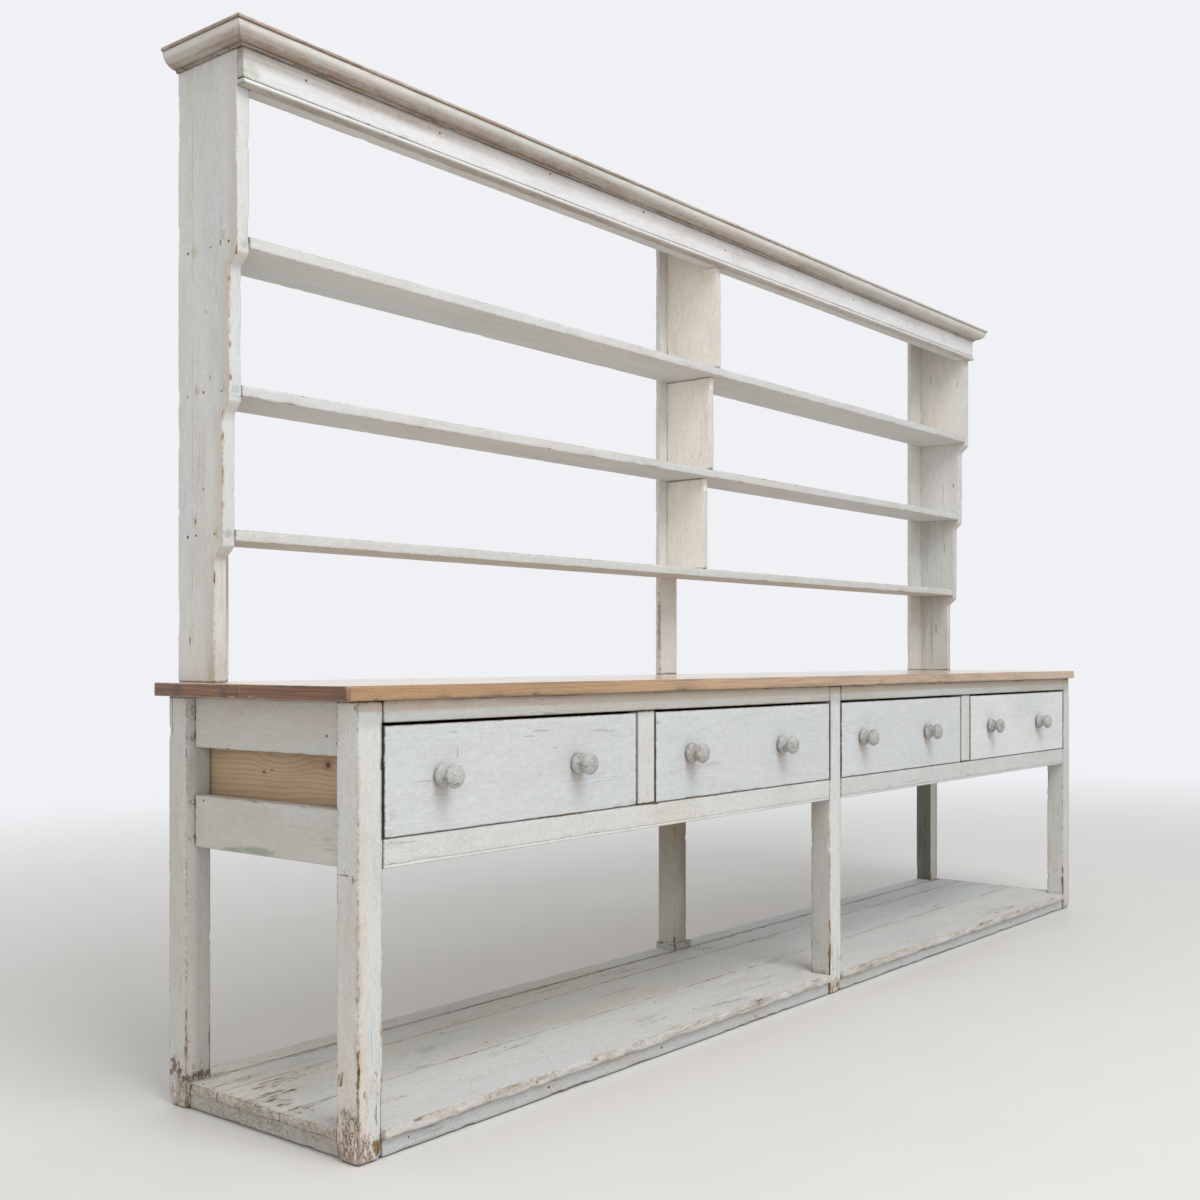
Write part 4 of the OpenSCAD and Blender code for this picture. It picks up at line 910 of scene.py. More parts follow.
class Pile:
    """Boards gathered into one piece before they become a mesh."""

    def __init__(self, seed):
        self.wear = bpy.context.scene.dresser.wear
        self.seed = seed + self.wear.seed * 1000
        self.random = np.random.default_rng(self.seed)
        self.verts, self.faces, self.smooth = [], [], []
        self.edge, self.nick, self.grain, self.ends = [], [], [], []
        self.count = 0

    def board(self, plane, outline, lo, hi, along, arris=1.0, corner=1.2, rub=1.0, chip=1.0,
              share=0.38, rows=0.0, shape=None, faces=(1.0, 1.0), near=NEAR):
        """Add a board: a flat outline drawn from lo to hi, with worn arrises; sizes in millimetres."""
        a, b, c = PLANES[plane]
        base, mitre, centre, fan, radius, tie = trace(outline, corner, self.wear.step / MM, near)
        n = len(base)
        thick = hi - lo
        r = min(self.wear.arris / MM * arris, thick * 0.3)
        k = r * (1 - math.sqrt(0.5))
        side = [(near + 0.8, 0.0, 0.0), (near, 0.0, 0.0), (r, 0.0, 0.7), (k, k, 1.0), (0.0, r, 0.7)]
        if thick > 2 * near + 2:
            side.append((0.0, near, 0.0))
        rings = [(d, lo + t, e, -1) for d, t, e in side]
        if rows:
            inner = int((thick - 2 * near) / rows)
            rings += [(0.0, lo + near + (thick - 2 * near) * (i + 1) / (inner + 1), 0.0, 0) for i in range(inner)]
        rings += [(d, hi - t, e, 1) for d, t, e in reversed(side)]
        self.seed += 7
        rub, chip = self.wear.rub / MM * rub, self.wear.chip / MM * chip

        def solid(flat, w):
            out = np.empty((n, 3))
            out[:, a], out[:, b], out[:, c] = flat[:, 0], flat[:, 1], w
            return out

        worn = {s: edge_wear(solid(base, lo if s < 0 else hi), self.seed + s, share) for s in (-1, 1)}
        is_corner = (radius > 0).astype(float)
        verts, edges, nicks, idx = [], [], [], []
        for d, w, e, s in rings:
            rounded = (radius > 0) & (d < radius)
            flat = np.where(rounded[:, None], centre + fan * (radius - d)[:, None], base - mitre * d)
            depth = nick = np.zeros(n)
            if s and e:
                depth = (rub * worn[s][0] + chip * worn[s][1]) * e * faces[s > 0]
                nick = worn[s][1] * e
            rubbed, chipped = (v * is_corner * (d < near) for v in edge_wear(solid(base, w), self.seed + 3, share))
            flat = flat - fan * (depth * 0.7 + rub * rubbed + chip * chipped)[:, None]
            verts.append(solid(flat, w - s * depth * 0.7))
            edges.append(np.maximum(e, is_corner * (d < near)))
            nicks.append(np.maximum(nick, chipped))
            start = self.count + len(idx) * n
            idx.append(start + np.where(d >= radius, tie, np.arange(n)))
        verts = np.concatenate(verts)
        if shape:
            verts = shape(verts)
        turn = -1 if plane == LEFT_HANDED else 1
        for first, second in zip(idx, idx[1:]):
            for i in range(n):
                j = (i + 1) % n
                self.face((first[i], first[j], second[j], second[i])[::turn])
        self.face(idx[0][::-turn], flat=True)
        self.face(idx[-1][::turn], flat=True)
        order = [along] + [axis for axis in (0, 1, 2) if axis != along]
        metres = verts * MM
        tone = self.random.random()
        self.grain.append(metres[:, order] + self.random.random(3) * (9.0, 3.0, 3.0))
        run = metres[:, along]
        self.ends.append(np.stack([run - run.min(), run.max() - run, np.full(len(run), tone)], axis=1))
        self.edge.append(np.concatenate(edges))
        self.nick.append(np.concatenate(nicks))
        self.verts.append(metres)
        self.count += len(verts)

    def face(self, corners, flat=False):
        """Add a face, with repeated corners left out."""
        kept = [int(v) for i, v in enumerate(corners) if v != corners[i - 1]]
        if len(kept) > 2:
            self.faces.append(kept)
            self.smooth.append(not flat)

    def plank(self, x, y, z, along, **wear):
        """Add a plain board between pairs of X, Y and Z."""
        spans = (x, y, z)
        thin = min((axis for axis in (0, 1, 2) if axis != along), key=lambda i: spans[i][1] - spans[i][0])
        plane = {0: "yz", 1: "xz", 2: "xy"}[thin]
        a, b, c = PLANES[plane]
        self.board(plane, rectangle(*spans[a], *spans[b]), *spans[c], along, **wear)

    def piece(self, name, node, *finishes, body="frame", pick=None):
        """Turn the pile into a mesh that stands for a CAD node and rides on its body."""
        mesh = bpy.data.meshes.new(name)
        mesh.from_pydata(np.concatenate(self.verts).tolist(), [], self.faces)
        write_fields(mesh, edge=np.concatenate(self.edge), nick=np.concatenate(self.nick),
                     grain=np.concatenate(self.grain), ends=np.concatenate(self.ends))
        mesh.polygons.foreach_set("use_smooth", self.smooth)
        work = bmesh.new()
        work.from_mesh(mesh)
        bmesh.ops.delete(work, geom=[v for v in work.verts if not v.link_faces], context="VERTS")
        work.to_mesh(mesh)
        work.free()
        place_piece(name, mesh, finishes, [node], body, pick)


def planks(name, node, finish, seed, along, spans, **wear):
    """One piece of plain boards, each between pairs of X, Y and Z."""
    pile = Pile(seed)
    for span in spans:
        pile.plank(*span, along, **wear)
    pile.piece(name, node, finish)


def rectangle(left, right, front, back):
    """A flat outline of four corners."""
    return [(left, front), (right, front), (right, back), (left, back)]


def circle(a, b, radius, angles):
    """Points round a centre, at angles in degrees."""
    return [(a + radius * math.cos(t), b + radius * math.sin(t)) for t in map(math.radians, angles)]


def place_piece(name, mesh, finishes, nodes, body="frame", pick=None):
    """Link a finished mesh, give it its materials, and tie it to the frame."""
    for finish in finishes:
        mesh.materials.append(finish_named(finish))
    if pick:
        normals, centres = np.zeros(len(mesh.polygons) * 3), np.zeros(len(mesh.polygons) * 3)
        mesh.polygons.foreach_get("normal", normals)
        mesh.polygons.foreach_get("center", centres)
        chosen = pick(normals.reshape(-1, 3), centres.reshape(-1, 3))
        mesh.polygons.foreach_set("material_index", chosen.astype(np.int32))
    made = add_object(name, mesh)
    if nodes:
        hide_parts(*nodes)
    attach(made, body)


def repaint(finish, *nodes):
    """Give CAD nodes that stay a better material."""
    for node in nodes:
        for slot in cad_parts[node].material_slots:
            slot.material = finish_named(finish)


# ---------------------------------------------------------------- pieces


class DRESSER_OT_worktop(Operator):
    """Make the two waxed boards of the worktop"""

    bl_idname = "dresser.worktop"
    bl_label = "Worktop"
    bl_options = {"REGISTER", "UNDO"}

    def execute(self, context):
        """Rounded at the front corners, with an uneven lower front edge."""
        radius, end, front, joint = 16.0, 1770.0, -280.0, 37.9
        turn = [15 * i for i in range(7)]
        left = circle(-end + radius, front + radius, radius, [270 - a for a in reversed(turn)])
        right = circle(end - radius, front + radius, radius, [270 + a for a in turn])

        def ends_dark(normals, centres):
            return (np.abs(normals[:, 0]) > 0.75).astype(int)

        for side, outline, seed in (
                ("front", [(-end, joint)] + left + right + [(end, joint)], 1),
                ("back", rectangle(-end, end, 38.1, Y_BACK), 2)):
            pile = Pile(seed)
            pile.board("xy", outline, Z_UNDER_TOP, Z_TOP, 0, arris=1.7, chip=1.1, faces=(1.35, 0.6))
            pile.piece(f"waxed_{side}_board", f"worktop_{side}_board", "waxed pine", "waxed pine end", pick=ends_dark)
        return {"FINISHED"}


class DRESSER_OT_legs(Operator):
    """Make the six square legs"""

    bl_idname = "dresser.legs"
    bl_label = "Legs"
    bl_options = {"REGISTER", "UNDO"}

    def execute(self, context):
        """Chipped along their arrises, most near the floor."""
        for row, y in (("front", Y_FRONT), ("back", Y_BACK_LEGS)):
            for column, x in zip(("left", "middle", "right"), LEG_X):
                node = f"leg_{row}_{column}"
                pile = Pile(20 + len(node) + int(x) % 97)

                def worn_foot(verts, middle=(x + LEG_W / 2, y + LEG_W / 2)):
                    out = verts.copy()
                    lift = np.clip(1 - verts[:, 2] / FOOT_H, 0, 1)
                    spread = np.abs(verts[:, :2] - middle).prod(axis=1) / (LEG_W / 2) ** 2
                    round_off = 0.10 * spread ** 3 * np.clip(1 - verts[:, 2] / (1.6 * FOOT_H), 0, 1)
                    inward = 1 - (FOOT_IN / (LEG_W / 2)) * lift ** 2 - round_off
                    for axis in (0, 1):
                        out[:, axis] = middle[axis] + (verts[:, axis] - middle[axis]) * inward
                    return out

                pile.board("xy", rectangle(x, x + LEG_W, y, y + LEG_W), 0.0, Z_UNDER_TOP, 2,
                           corner=2.2, arris=1.2, rub=0.6, chip=1.2, rows=7.0, shape=worn_foot)
                # The back left leg's front face takes the greyed paint, which there paints the shade under the base
                finish, axis = {
                    "leg_back_right": ("green paint", 0), "leg_back_middle": ("dark brown paint", None),
                    "leg_back_left": ("greyed paint and shade", 1)}.get(node, ("base paint", 0))
                pile.piece(f"square_{node}", node, "base paint", finish,
                           pick=lambda n, c, axis=axis: np.ones(len(n)) if axis is None else n[:, axis] < -0.5)
        return {"FINISHED"}


class DRESSER_OT_base_rails(Operator):
    """Make the front rails, muntins, side rails and back panels"""

    bl_idname = "dresser.base_rails"
    bl_label = "Base rails"
    bl_options = {"REGISTER", "UNDO"}

    def execute(self, context):
        """The lower front rails carry a scratch bead."""
        depth = (Y_FRONT, Y_FRONT + RAIL_T)
        planks("rails_over_drawers", "front_top_rails", "base paint", 40, 0,
               [(half, depth, (Z_OPENING[1], Z_UNDER_TOP)) for half in HALVES], arris=0.7, chip=0.7)

        bead, quirk, z = 3.0, 1.5, Z_RAIL_BOTTOM
        over = z + 2 * bead + quirk
        section = ([(depth[1], z), (depth[1], Z_OPENING[0]), (Y_FRONT, Z_OPENING[0]), (Y_FRONT, over),
                    (Y_FRONT + quirk, over)] + circle(Y_FRONT + bead, z + bead, bead, range(120, 271, 25)))
        low = Pile(41)
        for lo, hi in HALVES:
            low.board("yz", section, lo, hi, 0, arris=0.5, corner=0.5, chip=0.7, rows=12.0, near=1.4, rub=0.6)
        low.piece("rails_below_drawers", "front_bottom_rails", "base paint")

        planks("muntins", "drawer_muntins", "base paint", 42, 2,
               [((OPENINGS[i][1], OPENINGS[i + 1][0]), depth, Z_OPENING) for i in (0, 2)], arris=0.8, chip=0.8)
        for node, seed, z in (("side_upper_rails", 789, (746.0, Z_UNDER_TOP)),
                              ("side_lower_rails", 583, (540.0, 647.0))):
            planks(f"worn_{node}", node, "base paint", seed, 1,
                   [(x, BETWEEN_LEGS, z) for x in SIDE_RAIL_X], arris=0.9)
        planks("back_boards", "back_panels", "board pine", 45, 0,
               [(half, BACK_PANEL_Y, z) for half in HALVES
                for z in ((Z_RAIL_BOTTOM, Z_BACK_JOINT[0]), (Z_BACK_JOINT[1], Z_UNDER_TOP))], chip=0.6)
        return {"FINISHED"}


class DRESSER_OT_drawer_fronts(Operator):
    """Make the four drawer fronts"""

    bl_idname = "dresser.drawer_fronts"
    bl_label = "Drawer fronts"
    bl_options = {"REGISTER", "UNDO"}

    def execute(self, context):
        """Painted in front only; their ends stand a hair back, so that the dovetails show."""
        def pick(normals, centres):
            return ((normals[:, 1] > -0.35) & (centres[:, 1] > (Y_FRONT + 6.0) * MM)).astype(int)

        for i, (lo, hi) in enumerate(OPENINGS):
            x0, x1, hair = lo + 2.5, hi - 2.5, 0.3
            front, lap, back = Y_FRONT, Y_FRONT + DRAWER_LAP, Y_FRONT + DRAWER_FRONT_T
            outline = [(x0, front), (x1, front), (x1, lap), (x1 - hair, lap + 0.3), (x1 - hair, back),
                       (x0 + hair, back), (x0 + hair, lap + 0.3), (x0, lap)]
            pile = Pile(60 + i)
            pile.board("xy", outline, *Z_DRAWER_FRONT, 0, arris=0.8, corner=1.3, rows=9.0, near=3.0, chip=0.8)
            pile.piece(f"drawer_{i + 1}_face", f"drawer_{i + 1}_front", "drawer paint", "board pine",
                       body=f"drawer_{i + 1}", pick=pick)
        return {"FINISHED"}


def notched_edge(end, gap, edge, inner):
    """An edge of the potboard, set back by a notch for each leg."""
    stops = [-end, LEG_X[0] + LEG_W + gap, LEG_X[1] - gap, LEG_X[1] + LEG_W + gap, LEG_X[2] - gap, end]
    levels = (inner, edge, inner, edge, inner)
    return [(x, y) for start, stop, y in zip(stops, stops[1:], levels) for x in (start, stop)]


class DRESSER_OT_potboard(Operator):
    """Make the four potboard boards, the plinth rails and the leg collar"""

    bl_idname = "dresser.potboard"
    bl_label = "Potboard"
    bl_options = {"REGISTER", "UNDO"}

    def execute(self, context):
        """Boards notched round the legs, walked and scrubbed along their edges."""
        end, gap = 1734.0, 1.0
        near = notched_edge(end, gap, -276.0, Y_FRONT + LEG_W + gap)
        far = notched_edge(end, gap, Y_BACK, Y_BACK_LEGS - gap)
        for number, outline, arris, rub in (
                (1, [(-end, -44.0)] + near + [(end, -44.0)], 2.0, 0.5),
                (2, rectangle(-end, end, -42.0, 155.0), 1.5, 1.0),
                (3, rectangle(-end, end, 157.0, 246.0), 1.5, 1.0),
                (4, [(-end, 248.0), (end, 248.0)] + far[::-1], 1.5, 1.0)):
            pile = Pile(70 + number)
            pile.board("xy", outline, Z_POTBOARD_UNDER, Z_POTBOARD, 0, arris=arris, chip=1.5, share=0.44, rub=rub)
            pile.piece(f"scrubbed_board_{number}", f"potboard_board_{number}", "potboard paint")

        for node, seed, along, places in (
                ("plinth_front_rails", 114, 0, [(half, (-266.0, -246.0)) for half in HALVES]),
                ("plinth_back_rails", 126, 0, [(half, (296.0, 316.0)) for half in HALVES]),
                ("plinth_end_rails", 88, 1, [(x, BETWEEN_LEGS) for x in ((-1724.0, -1704.0), (1704.0, 1724.0))])):
            planks(f"scuffed_{node}", node, "plinth paint", seed, along,
                   [(*place, Z_PLINTH) for place in places], share=0.40)

        collar = Pile(89)
        x, y, t = -30.1, Y_BACK_LEGS - 0.1, 10.0
        for outline, along in (
                ([(x, y), (x - t, y - t), (-x + t, y - t), (-x, y)], 0),
                *(([(s * -x, y + 0.1), (s * -x, Y_BACK), (s * (t - x), Y_BACK), (s * (t - x), y + 0.1 - t)], 1)
                  for s in (-1, 1))):
            collar.board("xy", outline, Z_POTBOARD, 76.0, along, corner=0.5, near=1.6, arris=0.5, chip=0.5)
        collar.piece("foot_collar", "leg_collar", "greyed paint and shade")
        return {"FINISHED"}


def end_outline():
    """Side view of a rack end, stepped back under each shelf by a nose and an ogee."""
    points = [(Y_BACK, Z_TOP), (Y_BACK, Z_ENDS_TOP), (BAY_Y[0], Z_ENDS_TOP)]
    for (front, back), z in zip(zip(BAY_Y, BAY_Y[1:]), SHELF_Z):
        points.append((front, z))
        for i in range(STEP_N + 1):
            share = (1 - math.cos(math.pi * i / STEP_N)) / 2
            points.append((front + (back - front) * share, z - STEP_NOSE - STEP_H * i / STEP_N))
    points.append((BAY_Y[3], Z_TOP))
    return points


class DRESSER_OT_rack(Operator):
    """Make the rack's ends, stiles, shelves and dividers"""

    bl_idname = "dresser.rack"
    bl_label = "Rack boards"
    bl_options = {"REGISTER", "UNDO"}

    def execute(self, context):
        """Boards of the rack, each replacing its node."""
        for side, seed, x in (("left", 104, (-RACK_X, -RACK_INNER_X)), ("right", 105, (RACK_INNER_X, RACK_X))):
            pile = Pile(seed)
            pile.board("yz", end_outline(), *x, 2, near=4.5, rub=0.7, chip=1.1, share=0.42)
            pile.piece(f"stepped_end_{side}", f"rack_end_{side}", "rack paint")
        planks("back_stiles", "rack_back_stiles", "inner rack paint brightened against shade", 102, 2,
               [(x, (Y_STILE, Y_BACK), (Z_TOP, Z_ENDS_TOP))
                for x in ((-RACK_INNER_X, -1596.0), (-43.0, 43.0), (1596.0, RACK_INNER_X))])
        for name, seed, front, z in zip(("top", "middle", "low"), (115, 117, 110), BAY_Y, SHELF_Z):
            planks(f"shelf_{name}", f"rack_shelf_{name}", "rack paint", seed, 0,
                   [((-RACK_INNER_X, RACK_INNER_X), (front, Y_STILE), (z, z + SHELF_T))], chip=0.9)

        half, z, notch = 9.5, SHELF_Z[0] + SHELF_T, (155.0, 2080.0)
        divider = Pile(120)
        divider.board("yz", [(BAY_Y[0], z), (Y_STILE, z), (Y_STILE, Z_ENDS_TOP), (notch[0], Z_ENDS_TOP), notch,
                             (BAY_Y[0], notch[1])], -half, half, 2)
        divider.piece("divider_top", "rack_divider_top", "inner rack paint brightened against shade")
        for name, seed, front, low, high in (("middle", 127, BAY_Y[1], SHELF_Z[1], SHELF_Z[0]),
                                             ("low", 124, BAY_Y[2], SHELF_Z[2], SHELF_Z[1])):
            planks(f"divider_{name}", f"rack_divider_{name}", "inner rack paint brightened against shade", seed, 2,
                   [((-half, half), (front, Y_STILE), (low + SHELF_T, high))])
        return {"FINISHED"}


class DRESSER_OT_cornice(Operator):
    """Make the frieze, its bead and backing rail, and the mitred cornice"""

    bl_idname = "dresser.cornice"
    bl_label = "Frieze and cornice"
    bl_options = {"REGISTER", "UNDO"}

    def execute(self, context):
        """Mouldings run along the front and return along both ends."""
        run, front = (-RACK_X, RACK_X), Y_FRIEZE
        planks("frieze", "frieze_board", "moulding paint", 130, 0,
               [(run, (front, Y_FRIEZE_BACK), (Z_FRIEZE, Z_ENDS_TOP))], chip=0.7)
        planks("rail_behind_frieze", "frieze_backing_rail", "rack paint", 131, 0,
               [((-RACK_INNER_X, RACK_INNER_X), (Y_FRIEZE_BACK, 155.0), (Z_BEAD, 2150.0))])

        bead = Pile(132)
        bead.board("yz", [(Y_FRIEZE_BACK, Z_BEAD), (Y_FRIEZE_BACK, Z_FRIEZE)]
                   + circle(96.0 + BEAD_R, Z_BEAD + BEAD_R, BEAD_R, range(90, 271, 20)),
                   *run, 0, corner=0.5, near=1.5, rows=14.0, chip=0.5, arris=0.5)
        bead.piece("bead_below_frieze", "frieze_bead", "moulding paint")

        turn = (math.radians(7.5 * i) for i in range(13))
        ovolo = [(7.0 + 31.0 * math.sin(t), 5.0 + 30.0 * (1 - math.cos(t))) for t in turn]
        section = [(0.0, 0.0), (6.0, 0.0), (6.0, 5.0)] + ovolo + [(42.0, 35.0), (42.0, 42.0), (0.0, 42.0)]
        wear = dict(corner=0.7, near=1.6, rows=12.0, chip=0.9, rub=0.8, arris=0.4)

        def mitred_front(verts):
            out = verts.copy()
            out[:, 0] = verts[:, 0] / RACK_X * (RACK_X + front - verts[:, 1])
            return out

        def mitred_return(verts):
            out = verts.copy()
            start = front - (np.abs(verts[:, 0]) - RACK_X)
            out[:, 1] = start + (Y_BACK - start) * (verts[:, 1] - front) / (Y_BACK - front)
            return out

        along = Pile(133)
        along.board("yz", [(front - p, Z_CORNICE + q) for p, q in section], *run, 0, shape=mitred_front, **wear)
        along.piece("cornice_along_front", "cornice_front", "moulding paint")
        returns = Pile(134)
        for s in (-1, 1):
            returns.board("xz", [(s * (RACK_X + p), Z_CORNICE + q) for p, q in section], front, Y_BACK, 1,
                          shape=mitred_return, **wear)
        returns.piece("cornice_along_ends", "cornice_returns", "moulding paint")
        planks("roof_board", "rack_roof_board", "board pine", 135, 0,
               [(run, (front, Y_BACK), (Z_ENDS_TOP, 2196.0))], chip=0.6)
        return {"FINISHED"}


# ---------------------------------------------------------------- repeated small parts


def scatter_tree(name):
    """Geometry Nodes that set a turned or forged part on points, each looking along its own way."""
    tree = bpy.data.node_groups.new(name, "GeometryNodeTree")
    for label, kind in (("Points", "Geometry"), ("Part", "Object"), ("Size", "Float"), ("Size spread", "Float"),
                        ("Seed", "Int"), ("Finish", "Material")):
        tree.interface.new_socket(name=label, in_out="INPUT", socket_type=f"NodeSocket{kind}")
    tree.interface.new_socket(name="Geometry", in_out="OUTPUT", socket_type="NodeSocketGeometry")
    given = wires(tree.nodes.new("NodeGroupInput"))
    part = wired("GeometryNodeObjectInfo", {"Object": given["Part"]}, "Geometry")
    way = Wire(put(tree, "GeometryNodeInputNamedAttribute", {"Name": "way"}, data_type="FLOAT_VECTOR").outputs[0])
    facing = wired("FunctionNodeAlignRotationToVector", {"Vector": way}, axis="Z")
    spin = wired("FunctionNodeRandomValue", {"Min": (0.0, 0.0, 0.0), "Max": (0.0, 0.0, 6.283), "Seed": given["Seed"]},
                 data_type="FLOAT_VECTOR")
    spin = wired("FunctionNodeEulerToRotation", {0: spin})
    turned = wired("FunctionNodeRotateRotation", {0: facing, 1: spin}, rotation_space="LOCAL")
    spread = given["Size spread"]
    varied = wired("FunctionNodeRandomValue", {2: 1.0 - spread, 3: spread + 1.0, "Seed": given["Seed"]}, 1,
                   data_type="FLOAT")
    placed = wired("GeometryNodeInstanceOnPoints", {"Points": given["Points"], "Instance": part, "Rotation": turned,
                                                    "Scale": given["Size"] * varied})
    joined = wired("GeometryNodeRealizeInstances", {0: placed})
    done = wired("GeometryNodeSetMaterial", {"Geometry": joined, "Material": given["Finish"]})
    put(tree, "NodeGroupOutput", {"Geometry": done})
    return tree


def set_on_points(name, points, ways, part_mesh, finish, size=1.0, spread=0.0, seed=0):
    """Run the scatter tree over points and return the plain mesh it makes."""
    tree = bpy.data.node_groups.get("set on points") or scatter_tree("set on points")
    carrier_mesh = bpy.data.meshes.new(name + " points")
    carrier_mesh.from_pydata([tuple(p) for p in points], [], [])
    write_fields(carrier_mesh, way=ways)
    carrier, part = add_object(name + " points", carrier_mesh), add_object(name + " part", part_mesh)
    modifier = carrier.modifiers.new("set", "NODES")
    modifier.node_group = tree
    values = {"Part": part, "Size": size, "Size spread": spread, "Seed": seed, "Finish": finish_named(finish)}
    for item in tree.interface.items_tree:
        if item.item_type == "SOCKET" and item.in_out == "INPUT" and item.name in values:
            modifier[item.identifier] = values[item.name]
    shown = carrier.evaluated_get(bpy.context.evaluated_depsgraph_get())
    mesh = bpy.data.meshes.new_from_object(shown)
    carrier.modifiers.remove(modifier)
    bpy.data.objects.remove(carrier)
    bpy.data.objects.remove(part)
    mesh.name = name
    mesh.materials.clear()
    return mesh


# Radius, height and wear from foot to tip; the nail's for a head 1 wide, the peg's in millimetres
NAIL_PROFILE = ((0.38, -1.0, 0), (0.48, -0.02, 0), (0.44, 0.05, 0), (0.2, 0.08, 0))
PEG_PROFILE = ((3.9, -8.0, 0), (4.1, -0.2, 0.4), (3.9, 0.15, 0.9), (3.3, 0.4, 0.8), (1.5, 0.5, 0.1))


def turned_mesh(name, profile, sides, wobble=0.0, seed=0):
    """A closed shape turned round Z from rows of radius, height and wear; wobble makes it less round."""
    random = np.random.default_rng(seed)
    verts, faces, edge = [], [], []
    turns = np.linspace(0, 2 * math.pi, sides, endpoint=False)
    swell = 1 + wobble * (random.random(sides) - 0.5)
    for radius, height, worn in profile:
        for t, s in zip(turns, swell):
            verts.append((radius * s * math.cos(t) * MM, radius * s * math.sin(t) * MM, height * MM))
            edge.append(worn)
    for ring in range(len(profile) - 1):
        for i in range(sides):
            j = (i + 1) % sides
            a, b = ring * sides, (ring + 1) * sides
            faces.append((a + i, a + j, b + j, b + i))
    foot, tip = len(verts), len(verts) + 1
    verts += [(0, 0, profile[0][1] * MM), (0, 0, profile[-1][1] * MM)]
    edge += [0.0, 0.0]
    last = (len(profile) - 1) * sides
    for i in range(sides):
        j = (i + 1) % sides
        faces += [(foot, j, i), (tip, last + i, last + j)]
    mesh = bpy.data.meshes.new(name)
    mesh.from_pydata(verts, [], faces)
    write_fields(mesh, edge=edge)
    mesh.polygons.foreach_set("use_smooth", [True] * len(faces))
    return mesh


def add_paint_fields(mesh, along, seed):
    """Give a small part's mesh the grain and ends that the paint reads."""
    places = np.zeros(len(mesh.vertices) * 3, np.float32)
    mesh.vertices.foreach_get("co", places)
    places = places.reshape(-1, 3)
    order = [along] + [axis for axis in (0, 1, 2) if axis != along]
    grain = places[:, order] + np.random.default_rng(seed).random(3)
    ends = np.tile((1.0, 1.0, 0.5), (len(places), 1))
    write_fields(mesh, grain=grain, ends=ends)


def knob_profile():
    """Turned knob: a rounded foot, a neck, and a domed head, with the fine rings that a chisel leaves."""
    points = []
    for a in range(-90, 80, 10):
        t = math.radians(a)
        points.append((15.5 + 8 * math.cos(t), 8 * (1 + math.sin(t)), max(0.0, 1 - abs(a) / 45)))
    points += [(14.6, 17.2, 0.0), (10.6, 18.6, 0.0), (9.6, 20.2, 0.0), (10.4, 22.0, 0.0)]
    for a in range(-62, 88, 8):
        t = math.radians(a)
        points.append((24 * math.cos(t) ** 0.92, 24 + 13 * (1 + math.sin(t)), max(0.0, 0.9 - abs(a - 5) / 40)))
    points.append((1.2, 49.9, 0.1))
    return points


class DRESSER_OT_knobs(Operator):
    """Make the eight turned knobs"""

    bl_idname = "dresser.knobs"
    bl_label = "Knobs"
    bl_options = {"REGISTER", "UNDO"}

    def execute(self, context):
        """Two on each drawer, set by Geometry Nodes and made one mesh for each drawer."""
        for i, pair in enumerate(KNOB_X):
            part = turned_mesh("knob", knob_profile(), 48, 0.012, i)
            places = [(x * MM, Y_FRONT * MM, Z_KNOB * MM) for x in pair]
            mesh = set_on_points(f"knobs_of_drawer_{i + 1}", places, [(0, -1, 0)] * 2, part, "knob paint", seed=i)
            add_paint_fields(mesh, 0, i)
            place_piece(f"turned_knobs_{i + 1}", mesh, ["knob paint"], [f"drawer_{i + 1}_knobs"], f"drawer_{i + 1}")
        return {"FINISHED"}


def nail_places():
    """Where the cut nails are, and the way each head looks, in millimetres."""
    random = np.random.default_rng(5)
    places, ways = [], []

    def drive(x, y, z, way, loose=2.0):
        place = np.array((x, y, z), float)
        for axis in (0, 1, 2):
            if not way[axis]:
                place[axis] += (random.random() - 0.5) * 2 * loose
        places.append(place)
        ways.append(way)

    for s in (-1, 1):
        for z, front in zip(SHELF_Z, BAY_Y):
            for y in (front + 26, front + 88, 286):
                drive(s * RACK_X, y, z + SHELF_T / 2, (s, 0, 0))
        for y, z in ((-160, 786), (-188, 772), (226, 640)):
            drive(s * 1714, y, z, (s, 0, 0), 3)
        for y in (136, 196, 290):
            drive(s * (RACK_X + 6), y, 2157, (s, 0, 0), 0.5)
        for z in STILE_NAIL_Z:
            for x in (1660, 1618):
                drive(s * x, Y_BACK - NAIL_SINK, z, (0, 1, 0), 4)
    for z in STILE_NAIL_Z:
        for x in (-24, 24):
            drive(x, Y_BACK - NAIL_SINK, z, (0, 1, 0), 3)
    for x in np.arange(-1560, 1600, 390):
        drive(x, 101, 2140, (0, -1, 0), 12)
    for bearer in (-1126, -578, 578, 1126, -1716, 1716):
        for y in (-196, -72, -16, 128, 176, 228, 288):
            if abs(bearer) < 1700 or -190 < y < 240:
                drive(bearer, y, 56, (0, 0, 1), 7)
    for x in np.arange(-1600, 1601, 400):
        drive(x, -266, 19, (0, -1, 0), 6)
    return np.array(places) * MM, np.array(ways, float)


def peg_places():
    """Where the pegs of the mortise joints show, in millimetres."""
    front = [((x, Y_FRONT, z), (0, -1, 0)) for x in (-1685.0, -19.0, 19.0, 1685.0) for z in (831.0, 566.0)]
    ends = [((s * 1734.0, y, z), (s, 0, 0)) for s in (-1, 1) for y in (-221.0, 271.0) for z in (799.0, 593.5)]
    places, ways = zip(*front, *ends)
    return np.array(places) * MM, np.array(ways, float)


